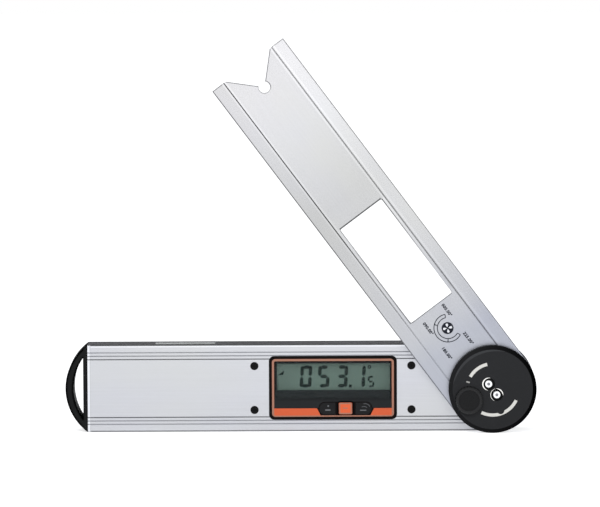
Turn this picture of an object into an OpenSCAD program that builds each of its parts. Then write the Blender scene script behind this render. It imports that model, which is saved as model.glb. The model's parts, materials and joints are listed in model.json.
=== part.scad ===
// Digital angle finder: two arms on one pivot, with a display in the lower arm.
//
// The tool stands on the base edge of its body. +Z is up, +X runs from the hanging loop to the pivot and
// the display faces -Y. The origin is the middle of the base edge's flat. Modules are drawn about the
// pivot axis and moved to their place by on_body() and on_arm().

/* [Arms] */
// Width of both arms, which is also the diameter of the hub
arm_width = 51.2; // [50:0.1:54]
// Distance from the pivot to the free end of each arm
reach = 236.2; // [228:0.1:300]
// Angle between the arms, as the display reads it
reading = 53.15; // [0:0.05:225]
// Gap between the body's face and the back of the blade
arm_gap = 0.6; // [0.55:0.05:0.8]

/* [Body channel] */
// Depth of the body from face to back plate
body_depth = 20; // [20:0.5:24]
// Wall thickness of the extruded channel
wall = 2; // [1.6:0.1:2.2]
// Rounding of the channel's long edges
edge_r = 0.6; // [0.5:0.1:1.5]
// Width of one decorative groove in the face
groove_w = 0.6; // [0.4:0.1:0.8]
// Depth of one decorative groove in the face
groove_d = 0.35; // [0.2:0.05:0.5]
// Distance from the body's long edge to the first groove
groove_inset = 4.6; // [4:0.1:5]
// Spacing of the three grooves
groove_pitch = 2; // [1.6:0.1:2.2]
// Width of the two rails that take the back plate's screws
rail_w = 5; // [4.5:0.1:5.5]
// Depth of those rails
rail_d = 4; // [3.5:0.1:4]

/* [Back plate] */
// Thickness of the back plate
plate_t = 2; // [1.8:0.1:2.2]
// Radius of the round cap behind the hub
back_cap_r = 18; // [16:0.5:18.5]

/* [Blade] */
// Thickness of the blade's rails
blade_depth = 7; // [6.5:0.1:9]
// Width of each rail of the blade
blade_rail_w = 8; // [7.5:0.1:8.2]
// Thickness of the web between the rails
web_t = 2.5; // [2:0.1:3]
// How far the web lies below the rails' front
web_recess = 0.4; // [0.2:0.1:0.6]
// Length of the window in the web
window_l = 68.6; // [60:0.2:72]
// Distance from the pivot to the middle of the window
window_x = 93.2; // [90:0.1:98]
// Height of the window in the web
window_h = 30; // [26:0.5:31]
// Radius of the window's corners
window_corner_r = 1; // [0.5:0.1:2]
// Depth of the 90 degree V-notch in the blade's end
notch_depth = 16; // [12:0.5:17.5]
// Radius of the relief hole at the foot of the notch
notch_relief_r = 3.4; // [2.5:0.1:4]

/* [Hub disc] */
// Thickness of the black disc over the blade
disc_t = 5.2; // [4.8:0.1:6]
// Width of the disc's bevelled rim
disc_bevel_w = 2.2; // [1.5:0.1:2.5]
// Depth of that bevel
disc_bevel_d = 1.2; // [0.8:0.1:1.5]
// Radius of the arc grooves' middle line
arc_r = 15; // [14.9:0.1:16]
// Width of the arc grooves
arc_w = 2.1; // [1.9:0.1:2.6]
// Depth of the arc grooves
arc_d = 1; // [0.5:0.1:1.5]
// Distance of each hub screw from the pivot axis
hub_screw_r = 3.95; // [3.9:0.05:4.1]

/* [Pivot] */
// Radius of the pivot shaft in its bush
shaft_r = 7; // [7:0.1:7.5]
// Radial wall of the bush
bush_wall = 2; // [1.6:0.1:2.2]
// How far the bush's thrust flange stands out of the body's face
bush_proud = 0.5; // [0.4:0.05:0.5]
// Radius of the shaft's threaded tail
tail_r = 4; // [3.5:0.1:4.5]
// Radius of the travel stop pin
stop_pin_r = 2; // [1.6:0.1:2]
// Travel of the blade, which is the longest angle the tool measures
travel = 225; // [180:5:230]

/* [Lock] */
// Radius of the lock knob
knob_r = 8; // [7:0.1:8.1]
// Height of the lock knob
knob_h = 3.8; // [3.4:0.1:5]
// Radius of the knob's threaded stud
stud_r = 2; // [1.5:0.1:2.2]
// Radius of the brake pad
pad_r = 2.5; // [2.2:0.1:2.6]
// Gap between the open brake pad and the body's face
pad_gap = 0.3; // [0.25:0.05:0.4]

/* [Display] */
// Distance from the pivot to the middle of the display
display_x = 92.9; // [90:0.1:98]
// Outer width of the black bezel
bezel_w = 74.5; // [74:0.1:76]
// Outer height of the black bezel
bezel_h = 37.2; // [37:0.1:38]
// How far the bezel stands out of the body's face
bezel_proud = 0.3; // [0.2:0.05:0.4]
// Width of the bezel's black rim
bezel_rim = 1.6; // [1.2:0.05:1.7]
// Width of the orange trim at the top and the sides
trim_w = 1.3; // [1.2:0.1:1.8]
// Height of the orange trim's lower strip
trim_strip_h = 5; // [4.8:0.1:5.6]
// Height of the clear display window
lens_h = 23.4; // [22:0.2:23.6]
// Spacing of the four display screws along the body
screw_dx = 91.7; // [91:0.1:94]
// Spacing of the four display screws across the body
screw_dz = 25.8; // [24:0.1:27]

/* [Buttons] */
// Height of the three buttons
button_h = 6.8; // [6:0.1:6.9]
// Width of the middle button
button_w = 7.7; // [7:0.1:8.4]
// Distance between the buttons' middles
button_pitch = 10.6; // [10.4:0.1:11]
// Distance of the buttons' middle line below the pivot axis
button_z = 12.2; // [12.1:0.05:12.3]
// How far a button can be pressed
button_travel = 0.4; // [0.2:0.05:0.45]

/* [End cap] */
// How far the hanging loop reaches beyond the body
loop_reach = 13; // [12.5:0.1:16]
// Thickness of the cap's flange
flange_t = 2.6; // [1.8:0.1:2.6]
// Thickness of the loop at its middle
loop_t = 4.8; // [4:0.1:5.3]
// Height of the loop's opening as a share of the arm's width
loop_open = 0.7; // [0.6:0.02:0.72]

/* [Level vial] */
// Distance from the pivot to the middle of the level vial
vial_x = 179.2; // [170:0.5:190]
// Length of the level vial
vial_l = 35; // [30:0.5:38]

/* [Battery] */
// Radius of the coin cell
cell_r = 10; // [10:0.1:10.2]
// Thickness of the coin cell
cell_t = 3.2; // [2.5:0.1:3.2]

/* [Hidden] */

$fn = 96;
fit = 0.1;          // clearance between pieces that are assembled by hand
snug = 0.02;        // radial clearance of threads and pressed pieces
running = 0.03;     // radial and axial clearance of the pivot
past = 1;           // how far a cutter runs past the face it opens

hub_r = arm_width / 2;
half_w = arm_width / 2;

// Levels along Y, from the back plate to the knob
body_back = body_depth / 2;
body_front = -body_depth / 2;
face_inner = body_front + wall;
plate_inner = body_back - plate_t;
blade_back = body_front - arm_gap;
blade_front = blade_back - blade_depth;
web_front = blade_front + web_recess;
web_back = web_front + web_t;
disc_front = blade_front - disc_t;
bush_front = body_front - bush_proud;
bush_back = face_inner + 5.5;

cavity_half = half_w - wall;            // half height of the channel's inside
plate_half = cavity_half - fit;         // half height of the back plate
web_half = half_w - blade_rail_w;       // half height of the blade's web
hub_length = 30;                        // how far the hub housing and the arm hub reach along their arms

// Radii about the pivot, set so that the pad runs between the bush's flange and the stop slot
knob_angle = 77.7;                      // where the lock knob lies, from the blade's own direction
knob_offset = (web_half - pad_r - 0.3) / sin(knob_angle);
bush_flange_r = knob_offset - pad_r - 1.5;
stop_r = hub_r - 4.5;

// Moves a piece drawn about the pivot axis to its place on the standing body.
module on_body() {
    translate([reach / 2, 0, half_w]) children();
}

// The same for a piece of the blade, drawn as it lies over the body when the tool reads 0.
module on_arm() {
    on_body() rotate([0, reading, 0]) children();
}

// Stands a flat outline up, so that its x and y become X and Z, and fills it from y0 to y1 along Y.
module slab(y0, y1) {
    translate([0, y1, 0]) rotate([90, 0, 0]) linear_extrude(y1 - y0) children();
}

// Runs a section from x0 to x1 along X: its x and y become Y and Z.
module run(x0, x1) {
    translate([x0, 0, 0]) rotate([90, 0, 90]) linear_extrude(x1 - x0) children();
}

// A round bar along Y.
module bar(r, y0, y1) {
    slab(y0, y1) circle(r);
}

// A cone along Y from radius r0 at y0 to radius r1 at y1.
module cone(r0, r1, y0, y1) {
    translate([0, y1, 0]) rotate([90, 0, 0]) cylinder(r1 = r1, r2 = r0, h = y1 - y0);
}

// Turns a section about the Y axis: its x is the radius and its y becomes Y.
module turned() {
    rotate([-90, 0, 0]) rotate_extrude() children();
}

// A rectangle about the origin with round corners.
module round_rect(w, h, r) {
    square([w - 2 * r, h], center = true);
    square([w, h - 2 * r], center = true);
    for (x = [-1, 1], y = [-1, 1])
        translate([x * (w / 2 - r), y * (h / 2 - r)]) circle(r);
}

// The outline of either arm seen from the front: straight, with a round hub end.
module arm_outline() {
    translate([-reach, -half_w]) square([reach, arm_width]);
    circle(hub_r);
}

// The part of that outline that fits between walls at the height "half".
module inner_outline(half, length) {
    translate([-length, -half]) square([length, 2 * half]);
    intersection() {
        circle(hub_r);
        translate([0, -half]) square([hub_r, 2 * half]);
    }
}

// The point at radius r and angle a, counted anticlockwise on the front from the blade's own direction.
function on_hub(r, a) = [r * cos(180 + a), 0, r * sin(180 + a)];

// A flat ring sector with square ends, from angle a0 to a1 on the front.
module arc_band(r, w, a0, a1) {
    steps = max(2, ceil((a1 - a0) / 20));
    far = (r + w) * 1.2;
    intersection() {
        difference() {
            circle(r + w / 2);
            circle(r - w / 2);
        }
        polygon([
            [0, 0],
            for (i = [0:steps]) far * [cos(a0 + (a1 - a0) * i / steps), sin(a0 + (a1 - a0) * i / steps)]
        ]);
    }
}

// ---------------------------------------------------------------------------------------------------
// Body channel, back plate and end cap

// Round-cornered section of the whole body, in Y and Z.
module body_section() {
    round_rect(body_depth, arm_width, edge_r);
}

rail_z = cavity_half - rail_w;          // where a screw rail starts
rail_y = plate_inner - rail_d;

// Section of the channel: a face, two edges and two rails that carry the back plate.
module channel_section() {
    difference() {
        body_section();
        translate([face_inner, -cavity_half]) square([body_depth, 2 * cavity_half]);
        for (side = [-1, 1], i = [0:2])
            translate([body_front, side * (half_w - groove_inset - i * groove_pitch)])
                polygon([[-past, -groove_w / 2], [0, -groove_w / 2], [groove_d, 0], [0, groove_w / 2],
                         [-past, groove_w / 2]]);
    }
    for (side = [-1, 1])
        translate([rail_y, side > 0 ? rail_z : -cavity_half]) square([rail_d, rail_w]);
}

display_hole_x = [-1, 1] * screw_dx / 2 - [display_x, display_x];
display_hole_z = [-1, 1] * screw_dz / 2;
display_head_r = 2.3;
display_head_h = 0.9;
display_screw_r = 1.5;

// Places its children at the four display screws.
module at_display_screws() {
    for (x = display_hole_x, z = display_hole_z) translate([x, 0, z]) children();
}

vial_w = 9;                             // depth of the vial block along Y
vial_y = -1.8;                          // middle of the vial block along Y
vial_h = 9.8;                           // height of the vial block
vial_sink = 0.2;                        // how far its top lies below the body's top edge

// The through slot in the face in which the stop pin travels, from a reading of 0 to the end of travel.
module stop_slot() {
    r = stop_pin_r + fit;
    reach_past = asin(r / stop_r) + 0.5;    // degrees by which the slot runs past the pin's middle
    slab(body_front - past, face_inner + past)
        arc_band(stop_r, 2 * r, -travel - reach_past, reach_past);
}

module main_body() color("gainsboro") on_body() difference() {
    intersection() {
        run(-reach, hub_r) channel_section();
        slab(body_front - past, body_back + past) arm_outline();
    }
    // room for the hub housing
    translate([-hub_length - fit, face_inner, -cavity_half])
        cube([hub_length + hub_r + past, body_depth, 2 * cavity_half]);
    // display cut-out and its countersunk screw holes
    slab(body_front - past, face_inner + past)
        translate([-display_x, 0]) round_rect(bezel_w + 2 * fit, bezel_h + 2 * fit, bezel_corner_r + fit);
    at_display_screws() {
        bar(display_screw_r + fit, body_front - past, face_inner + past);
        cone(display_head_r + fit, display_screw_r + fit, body_front, body_front + display_head_h);
    }
    bar(bush_flange_r + fit / 2, body_front - past, face_inner + past);
    stop_slot();
    // slot for the level vial in the top edge
    translate([-vial_x, vial_y, half_w])
        cube([vial_l + 2 * fit, vial_w + 2 * fit, 2 * wall + 2 * past], center = true);
    for (p = rail_screws) translate([p[0], 0, p[1]]) bar(plate_screw_r + snug, rail_y - past, plate_inner + past);
}

plug_l = 10;                            // how far the end cap reaches into the channel
plug_half = rail_z - fit;
plug_wall = 2;
loop_bevel = 0.8;
plate_screw_r = 1.25;
plate_head_r = 2.4;
plate_head_h = 1.2;
plate_screw_l = 6;
screw_margin = 10;                      // distance of the outermost rail screws from the free end's plug
rail_screw_z = rail_z + rail_w / 2;
rail_screws = [
    for (x = [-reach + plug_l + screw_margin, -reach * 0.57, -hub_length - 8]) for (s = [-1, 1])
        [x, s * rail_screw_z]
];
cap_screw_z = plug_half - 4.4;
cap_screws = [for (s = [-1, 1]) [-reach + plug_l / 2, s * cap_screw_z]];
housing_screw_x = -hub_length + 5;
housing_screw_z = cavity_half - 4.9;
housing_screws = [for (s = [-1, 1]) [housing_screw_x, s * housing_screw_z]];
plate_screws = concat(rail_screws, cap_screws, housing_screws);

module back_plate() color("silver") on_body() difference() {
    slab(plate_inner, body_back) inner_outline(plate_half, reach);
    for (p = plate_screws) translate([p[0], 0, p[1]]) {
        bar(plate_screw_r + fit, plate_inner - past, body_back + past);
        cone(plate_screw_r + fit, plate_head_r + fit, body_back - plate_head_h, body_back);
    }
    bar(back_cap_r + fit, plate_inner - past, body_back + past);
    translate([cover_x, 0, 0]) {
        slab(cover_seat, body_back + past) round_rect(cover_l + 2 * fit, cover_w + 2 * fit, cover_corner_r + fit);
        slab(plate_inner - past, body_back) round_rect(cover_l - cover_step, cover_w - cover_step, cover_corner_r);
    }
}

module back_plate_screws() color("dimgray") on_body()
    for (p = plate_screws) translate([p[0], 0, p[1]])
        flat_screw(plate_screw_r, plate_head_r, plate_head_h, plate_screw_l, body_back);

// A countersunk screw whose flat head ends at the level "top" and whose shank runs towards the front.
module flat_screw(r, head_r, head_h, length, top) {
    difference() {
        union() {
            bar(r, top - length, top - head_h / 2);
            cone(r, head_r, top - head_h, top);
        }
        slab(top - head_h * 0.7, top + past) {
            square([head_r * 1.3, head_r * 0.28], center = true);
            square([head_r * 0.28, head_r * 1.3], center = true);
        }
    }
}

// A circle through (0, +half) and (0, -half) that bulges "rise" to the left of x = 0.
module bulge(half, rise) {
    r = (half * half + rise * rise) / (2 * rise);
    translate([r - rise, 0]) circle(r);
}

// Outline of the hanging loop, which starts in the middle of the flange.
module loop_outline(inset) {
    opening_rise = loop_reach - flange_t - loop_t;
    difference() {
        intersection() {
            translate([-reach, 0]) bulge(half_w - inset, loop_reach - inset);
            translate([-reach - loop_reach - past, -half_w])
                square([loop_reach + past - flange_t / 2, arm_width]);
        }
        translate([-reach - flange_t, 0]) bulge(half_w * loop_open + inset, opening_rise + inset);
    }
}

module end_cap() color("#1c1c1e") on_body() {
    difference() {
        union() {
            run(-reach - flange_t, -reach) intersection() {
                body_section();
                square([body_depth, arm_width], center = true);
            }
            slab(body_front + loop_bevel, body_back - loop_bevel) loop_outline(0);
            slab(body_front, body_back) loop_outline(loop_bevel);
            run(-reach, -reach + plug_l) square([2 * (plate_inner - fit), 2 * plug_half], center = true);
        }
        pocket_half = cap_screw_z - 5;
        translate([-reach + plug_wall, face_inner + plug_wall, -pocket_half])
            cube([plug_l, plate_inner - face_inner - 2 * plug_wall, 2 * pocket_half]);
        for (p = cap_screws) translate([p[0], 0, p[1]])
            bar(plate_screw_r + snug, body_back - plate_screw_l - past, body_back);
        flange_round();
    }
}

// Trims the flange and loop to the round top and bottom of the loop where they meet the body.
module flange_round() {
    difference() {
        translate([-reach - loop_reach - past, body_front - past, -half_w - past])
            cube([loop_reach + past, body_depth + 2 * past, arm_width + 2 * past]);
        slab(body_front - 2 * past, body_back + 2 * past) translate([-reach, 0]) bulge(half_w, loop_reach);
    }
}

// ---------------------------------------------------------------------------------------------------
// Hub: housing, bush, shaft stack and encoder

housing_cavity_r = 17;
stator_r = 20;
stator_y = 3.9;                         // front of the stator board
stator_t = 1;
stator_screw_ring = 18.65;
stator_screw_r = 0.95;
stator_screw_l = 4;
rotor_y = 2.6;                          // front of the rotor disc, which is the end of the shaft
rotor_t = 1;
cable_w = 8;

module hub_housing() color("#222222") on_body() difference() {
    slab(face_inner, plate_inner) inner_outline(cavity_half - fit, hub_length);
    bar(shaft_r + bush_wall + snug, face_inner - past, bush_back + past);
    bar(housing_cavity_r, bush_back, stator_y + past);
    bar(stator_r + 3 * fit, stator_y, plate_inner + past);
    translate([-hub_length - past, bush_back, -cable_w / 2 - 1])
        cube([hub_length, plate_inner - bush_back + past, cable_w + 2]);
    for (a = [0, 120, 240]) rotate([0, a, 0]) translate([stator_screw_ring, 0, 0])
        bar(stator_screw_r + snug, stator_y - stator_screw_l, stator_y + past);
    for (p = housing_screws) translate([p[0], 0, p[1]])
        bar(plate_screw_r + snug, body_back - plate_screw_l - past, body_back);
}

module pivot_bush() color("#b08d4a") on_body() turned() polygon([
    [shaft_r + running, bush_front], [bush_flange_r, bush_front], [bush_flange_r, face_inner],
    [shaft_r + bush_wall, face_inner], [shaft_r + bush_wall, bush_back], [shaft_r + running, bush_back]
]);

module stator_board() color("#1f5a38") on_body() difference() {
    bar(stator_r, stator_y, stator_y + stator_t);
    bar(tail_r + 1, stator_y - past, stator_y + stator_t + past);
    for (a = [0, 120, 240]) rotate([0, a, 0]) translate([stator_screw_ring, 0, 0])
        bar(stator_screw_r + fit, stator_y - past, stator_y + stator_t + past);
}

// A round-headed screw with a cross, its head standing from "seat" to seat + head_h.
module pan_screw(r, head_r, head_h, length, seat) {
    difference() {
        union() {
            bar(r, seat - length, seat + head_h / 2);
            bar(head_r, seat, seat + head_h);
        }
        slab(seat + head_h / 2, seat + head_h + past) {
            square([head_r * 1.3, head_r * 0.28], center = true);
            square([head_r * 0.28, head_r * 1.3], center = true);
        }
    }
}

module stator_screws() color("silver") on_body()
    for (a = [0, 120, 240]) rotate([0, a, 0]) translate([stator_screw_ring, 0, 0])
        pan_screw(stator_screw_r, 1.6, 1, stator_screw_l, stator_y + stator_t);

cap_lip_t = 1.4;
cap_proud = 0.3;

module hub_back_cap() color("#1c1c1e") on_body() turned() polygon([
    [0, plate_inner - cap_lip_t], [stator_r, plate_inner - cap_lip_t], [stator_r, plate_inner],
    [back_cap_r, plate_inner], [back_cap_r, body_back - 0.2], [back_cap_r - 0.5, body_back + cap_proud],
    [back_cap_r - 3, body_back + cap_proud], [back_cap_r - 3.4, body_back - 0.1], [0, body_back - 0.1]
]);

thread_start = bush_back - 0.5;
washer_t = 1;
spring_t = 0.5;
spring_h = 0.8;
nut_t = 3;
spring_y = bush_back + snug + washer_t;
nut_y = spring_y + spring_h;
shaft_flange_r = 10;
rotor_screw_r = 1.25;

module pivot_shaft() color("#a8aab0") on_arm() difference() {
    union() {
        bar(shaft_flange_r, web_back, bush_front - running);
        bar(shaft_r, bush_front - running - past, thread_start);
        bar(tail_r, thread_start - past, rotor_y);
    }
    for (s = [-1, 1]) translate([s * hub_screw_r, 0, 0])
        bar(hub_screw_shank_r + snug, web_back - past, web_back + 6);
    bar(rotor_screw_r + snug, thread_start, rotor_y + past);
}

module thrust_washer() color("#8f9196") on_arm() difference() {
    bar(shaft_r + bush_wall, bush_back + snug, spring_y);
    bar(tail_r + snug, bush_back - past, spring_y + past);
}

module disc_spring() color("#8a8c90") on_arm() turned() polygon([
    [tail_r + snug, spring_y + spring_h - spring_t], [8, spring_y], [8, spring_y + spring_t],
    [tail_r + snug, spring_y + spring_h]
]);

module shaft_nut() color("#9a9ca0") on_arm() difference() {
    slab(nut_y, nut_y + nut_t) circle(r = 7.5, $fn = 6);
    bar(tail_r + snug, nut_y - past, nut_y + nut_t + past);
}

module rotor_disc() color("#1f5a38") on_arm() difference() {
    bar(housing_cavity_r - 1, rotor_y, rotor_y + rotor_t);
    bar(rotor_screw_r + fit, rotor_y - past, rotor_y + rotor_t + past);
}

module rotor_screw() color("silver") on_arm()
    pan_screw(rotor_screw_r, 2.25, 1.5, 4.5, rotor_y + rotor_t);

// ---------------------------------------------------------------------------------------------------
// Blade, its hub and the black disc

blade_edge_r = 0.6;
line_w = 0.6;                           // groove along the foot of each rail
line_d = 0.45;

// Section of the blade in Y and Z: two thick rails and a thin web between them.
module blade_section() {
    difference() {
        translate([(blade_front + blade_back) / 2, 0]) round_rect(blade_depth, arm_width, blade_edge_r);
        translate([web_back, -web_half]) square([blade_depth, 2 * web_half]);
        translate([blade_front - past, -web_half]) square([past + web_recess, 2 * web_half]);
        for (s = [-1, 1])
            translate([web_front - past, s > 0 ? web_half - line_w : -web_half]) square([past + line_d, line_w]);
    }
}

module blade_notch() {
    foot = -reach + notch_depth;
    polygon([[foot, 0], [foot - notch_depth - past, notch_depth + past],
             [foot - notch_depth - past, -notch_depth - past]]);
    translate([foot, 0]) circle(notch_relief_r);
}

hub_screw_shank_r = 1.5;
stud_clear = 0.05;

module blade() color("gainsboro") on_arm() difference() {
    intersection() {
        run(-reach, hub_r) blade_section();
        slab(blade_front - past, blade_back + past) arm_outline();
    }
    slab(blade_front - past, blade_back + past) {
        translate([-window_x, 0]) round_rect(window_l, window_h, window_corner_r);
        blade_notch();
    }
    for (s = [-1, 1]) translate([s * hub_screw_r, 0, 0])
        bar(hub_screw_shank_r + fit, web_front - past, web_back + past);
    translate(on_hub(knob_offset, knob_angle)) bar(stud_r + stud_clear, web_front - past, web_back + past);
}

module arm_hub() color("#222222") on_arm() difference() {
    slab(web_back, blade_back) inner_outline(web_half - fit, hub_length);
    bar(shaft_flange_r + fit, web_back - past, blade_back + past);
    translate([stop_r, 0, 0]) bar(stop_pin_r + snug, web_back + 1, blade_back + past);
    translate(on_hub(knob_offset, knob_angle)) bar(pad_r + fit / 2, web_back - past, blade_back + past);
}

module stop_pin() color("#a8aab0") on_arm()
    translate([stop_r, 0, 0]) bar(stop_pin_r, web_back + 1, face_inner - 0.4);

pocket_d = 1.5;                         // how far the lock knob sits in the disc
counterbore_r = 3.7;
counterbore_d = 2.4;
lug_r = 2;                              // round lug that narrows the lower arc groove
lug_pass = 0.8;                         // what the lug leaves of the groove's width
mark_l = 2.6;                           // short radial slot between the upper groove and the knob
mark_w = 1.3;
upper_arc = [155, 204];                 // arcs in degrees on the front, where 180 is along the blade
lower_arc = [296.6, 388.5];
mark_angle = 216.3;
lug_angle = 343.6;
lug_offset = arc_r + arc_w / 2 - lug_pass - lug_r;

// Section of the disc as radius and Y.
module disc_section() {
    polygon([[0, blade_front], [hub_r - 0.5, blade_front], [hub_r, blade_front - 0.5],
             [hub_r, disc_front + disc_bevel_d], [hub_r - disc_bevel_w, disc_front], [0, disc_front]]);
}

module hub_disc() color("#1e1f21") on_arm() difference() {
    union() {
        turned() disc_section();
        // pad that reaches down to the recessed web
        slab(blade_front - past, web_front) intersection() {
            circle(hub_r - 1);
            square([arm_width, 2 * (web_half - line_w)], center = true);
        }
    }
    slab(disc_front - past, disc_front + arc_d) {
        arc_band(arc_r, arc_w, upper_arc[0], upper_arc[1]);
        difference() {
            arc_band(arc_r, arc_w, lower_arc[0], lower_arc[1]);
            rotate(lug_angle) translate([lug_offset, 0]) circle(lug_r);
        }
        rotate(mark_angle) translate([arc_r, 0]) round_rect(mark_l, mark_w, mark_w / 3);
    }
    for (s = [-1, 1]) translate([s * hub_screw_r, 0, 0]) {
        bar(hub_screw_shank_r + fit, disc_front - past, web_front + past);
        bar(counterbore_r, disc_front - past, disc_front + counterbore_d);
        cone(counterbore_r + 0.2, counterbore_r, disc_front, disc_front + 0.2);
    }
    translate(on_hub(knob_offset, knob_angle)) {
        bar(stud_r + stud_clear, disc_front - past, web_front + past);
        bar(knob_r + 2 * fit, disc_front - past, disc_front + pocket_d);
    }
}

hub_washer_t = 0.5;
hub_head_h = 1.7;
hub_head_r = 2.5;
hub_seat = disc_front + counterbore_d;

module hub_washers() color("#202022") on_arm()
    for (s = [-1, 1]) translate([s * hub_screw_r, 0, 0]) difference() {
        bar(counterbore_r - fit, hub_seat - hub_washer_t, hub_seat);
        bar(hub_screw_shank_r + fit, hub_seat - hub_washer_t - past, hub_seat + past);
    }

// Button-headed socket screws, seated on the washers.
module hub_screws() color("whitesmoke") on_arm()
    for (s = [-1, 1]) translate([s * hub_screw_r, 0, 0]) difference() {
        top = hub_seat - hub_washer_t;
        union() {
            bar(hub_screw_shank_r, top - 0.1, web_back + 5);
            turned() polygon([[0, top], [hub_head_r, top], [hub_head_r, top - hub_head_h * 0.6],
                              [hub_head_r - 0.5, top - hub_head_h], [0, top - hub_head_h]]);
        }
        slab(top - hub_head_h - past, top - hub_head_h * 0.35) circle(r = 1, $fn = 6);
    }

// ---------------------------------------------------------------------------------------------------
// Lock: knob, stud and brake pad

knob_back = disc_front + pocket_d - 0.4;
knob_front = knob_back - knob_h;
stud_back = web_back + 1.2;
knob_flutes = 24;

module lock_knob() color("#232325") on_arm() translate(on_hub(knob_offset, knob_angle)) difference() {
    turned() polygon([
        [stud_r + snug, knob_back], [knob_r - 0.4, knob_back], [knob_r, knob_back - 0.4],
        [knob_r, knob_front + 0.8], [knob_r - 0.8, knob_front], [knob_r - 1.8, knob_front],
        [knob_r - 2.2, knob_front + 0.4], [0, knob_front + 0.4], [0, knob_front + 1.6],
        [stud_r + snug, knob_front + 1.6]
    ]);
    for (i = [0:knob_flutes - 1]) rotate([0, i * 360 / knob_flutes, 0]) translate([knob_r + 0.25, 0, 0])
        bar(0.55, knob_front - past, knob_back + past);
}

module lock_stud() color("#a8aab0") on_arm() translate(on_hub(knob_offset, knob_angle))
    bar(stud_r, knob_front + 1.6 + snug, stud_back);

module brake_pad() color("#5a4632") on_arm() translate(on_hub(knob_offset, knob_angle))
    bar(pad_r, stud_back + snug, body_front - pad_gap);

// ---------------------------------------------------------------------------------------------------
// Display module

bezel_corner_r = 3;
bezel_front = body_front - bezel_proud;
bezel_back = face_inner + 2;
bezel_flange = 2;                       // how far the bezel's hidden flange reaches past its rim
trim_t = 0.8;
trim_corner_r = 2;
lens_t = 1.5;
lens_sink = 0.6;
lens_back = bezel_front + lens_sink + lens_t;
lens_w = bezel_w - 2 * bezel_rim - 2 * trim_w;
lens_top = bezel_h / 2 - bezel_rim - trim_w;
strip_top = -bezel_h / 2 + bezel_rim + trim_strip_h;
panel_top_w = 33.4;                      // black panel around the buttons, at its top
panel_foot_w = 29;

// Moves children from the display's middle to the body.
module at_display() {
    on_body() translate([-display_x, 0, 0]) children();
}

// Outline of the clear window's pocket.
module lens_outline(grow) {
    translate([-lens_w / 2 - grow, lens_top - lens_h - grow]) square([lens_w + 2 * grow, lens_h + 2 * grow]);
}

button_mid_x = 7.3;                     // the middle button's place, right of the display's middle
side_button_w = 9.2;
button_corner_r = 0.8;

// Outline of a button: 0 is the square middle one, -1 and 1 have a round outer side.
module button_outline(which, grow) {
    if (which == 0) {
        round_rect(button_w + 2 * grow, button_h + 2 * grow, button_corner_r + grow);
    } else {
        w = side_button_w;
        r = button_h / 2;
        translate([which * (w / 2 - r), 0]) circle(r + grow);
        translate([-which * r / 2, 0]) square([w - r + 2 * grow, button_h + 2 * grow], center = true);
    }
}

module at_button(which) {
    translate([button_mid_x + which * button_pitch, 0, -button_z]) children();
}

module display_bezel() color("#161616") at_display() difference() {
    union() {
        slab(bezel_front + 0.3, face_inner + 0.1) round_rect(bezel_w, bezel_h, bezel_corner_r);
        slab(bezel_front, bezel_front + 0.4) round_rect(bezel_w - 0.6, bezel_h - 0.6, bezel_corner_r - 0.3);
        slab(face_inner, bezel_back)
            round_rect(bezel_w + 2 * bezel_flange, bezel_h + 2 * bezel_flange, bezel_corner_r + 1);
    }
    slab(bezel_front - past, bezel_front + trim_t) difference() {
        round_rect(bezel_w - 2 * bezel_rim, bezel_h - 2 * bezel_rim, trim_corner_r);
        button_panel(0);
    }
    slab(bezel_front - past, lens_back) lens_outline(0);
    slab(bezel_front, bezel_back + past) lens_outline(-1);
    for (i = [-1:1]) at_button(i) slab(bezel_front - past, bezel_back + past) button_outline(i, fit);
}

// The black panel around the buttons, which the orange trim leaves free.
module button_panel(grow) {
    foot = -bezel_h / 2 + bezel_rim + 0.8;
    translate([button_mid_x, 0]) polygon([
        [-panel_top_w / 2 - grow, strip_top + grow], [-panel_foot_w / 2 - grow, foot - grow],
        [panel_foot_w / 2 + grow, foot - grow], [panel_top_w / 2 + grow, strip_top + grow]
    ]);
    translate([-lens_w / 2 - grow, strip_top - grow]) square([lens_w + 2 * grow, lens_top - lens_h - strip_top + grow]);
}

module bezel_trim() color("#e0602e") at_display() difference() {
    slab(bezel_front - 0.05, bezel_front + trim_t)
        round_rect(bezel_w - 2 * bezel_rim - fit, bezel_h - 2 * bezel_rim - fit, trim_corner_r);
    slab(bezel_front - past, bezel_front + trim_t + past) {
        lens_outline(0);
        button_panel(fit / 2);
    }
}

module display_window() color([0.75, 0.8, 0.8, 0.35]) at_display()
    slab(bezel_front + lens_sink, lens_back) lens_outline(-fit);

lcd_top = 16;
lcd_foot = -4.5;
lcd_half_w = 34.5;
lcd_t = 1.8;
board_y = bezel_back + 3.4;             // front of the main board
board_t = 1.6;

// A plate of the LCD's width from the height z0 to z1.
module lcd_plate(z0, z1, grow) {
    translate([-lcd_half_w - grow, z0 - grow]) square([2 * (lcd_half_w + grow), z1 - z0 + 2 * grow]);
}

module lcd_panel() color("#7f9487") at_display()
    slab(bezel_back, bezel_back + lcd_t) lcd_plate(lcd_foot, lcd_top, 0);

module lcd_backlight() color("white") at_display()
    slab(bezel_back + lcd_t, board_y) lcd_plate(lcd_foot + 2.3, lcd_top, 0);

module lcd_connector_strip() color("#c58f9a") at_display()
    slab(bezel_back + lcd_t, board_y) lcd_plate(lcd_foot + 0.2, lcd_foot + 2, 0);

post_r = 3.8;
chassis_l = screw_dx + 2 * (post_r + 0.7);
chassis_w = bezel_h + 2.8;
board_l = screw_dx + 1;
board_w = 36;
board_hole_inset = [8, 2.2];
board_hole = [board_l / 2 - board_hole_inset[0], board_w / 2 - board_hole_inset[1]];
board_screw_r = 1;
board_screw_l = 4;
display_screw_l = 6.8;

module at_board_screws() {
    for (x = [-1, 1] * board_hole[0], z = [-1, 1] * board_hole[1]) translate([x, 0, z]) children();
}

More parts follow.
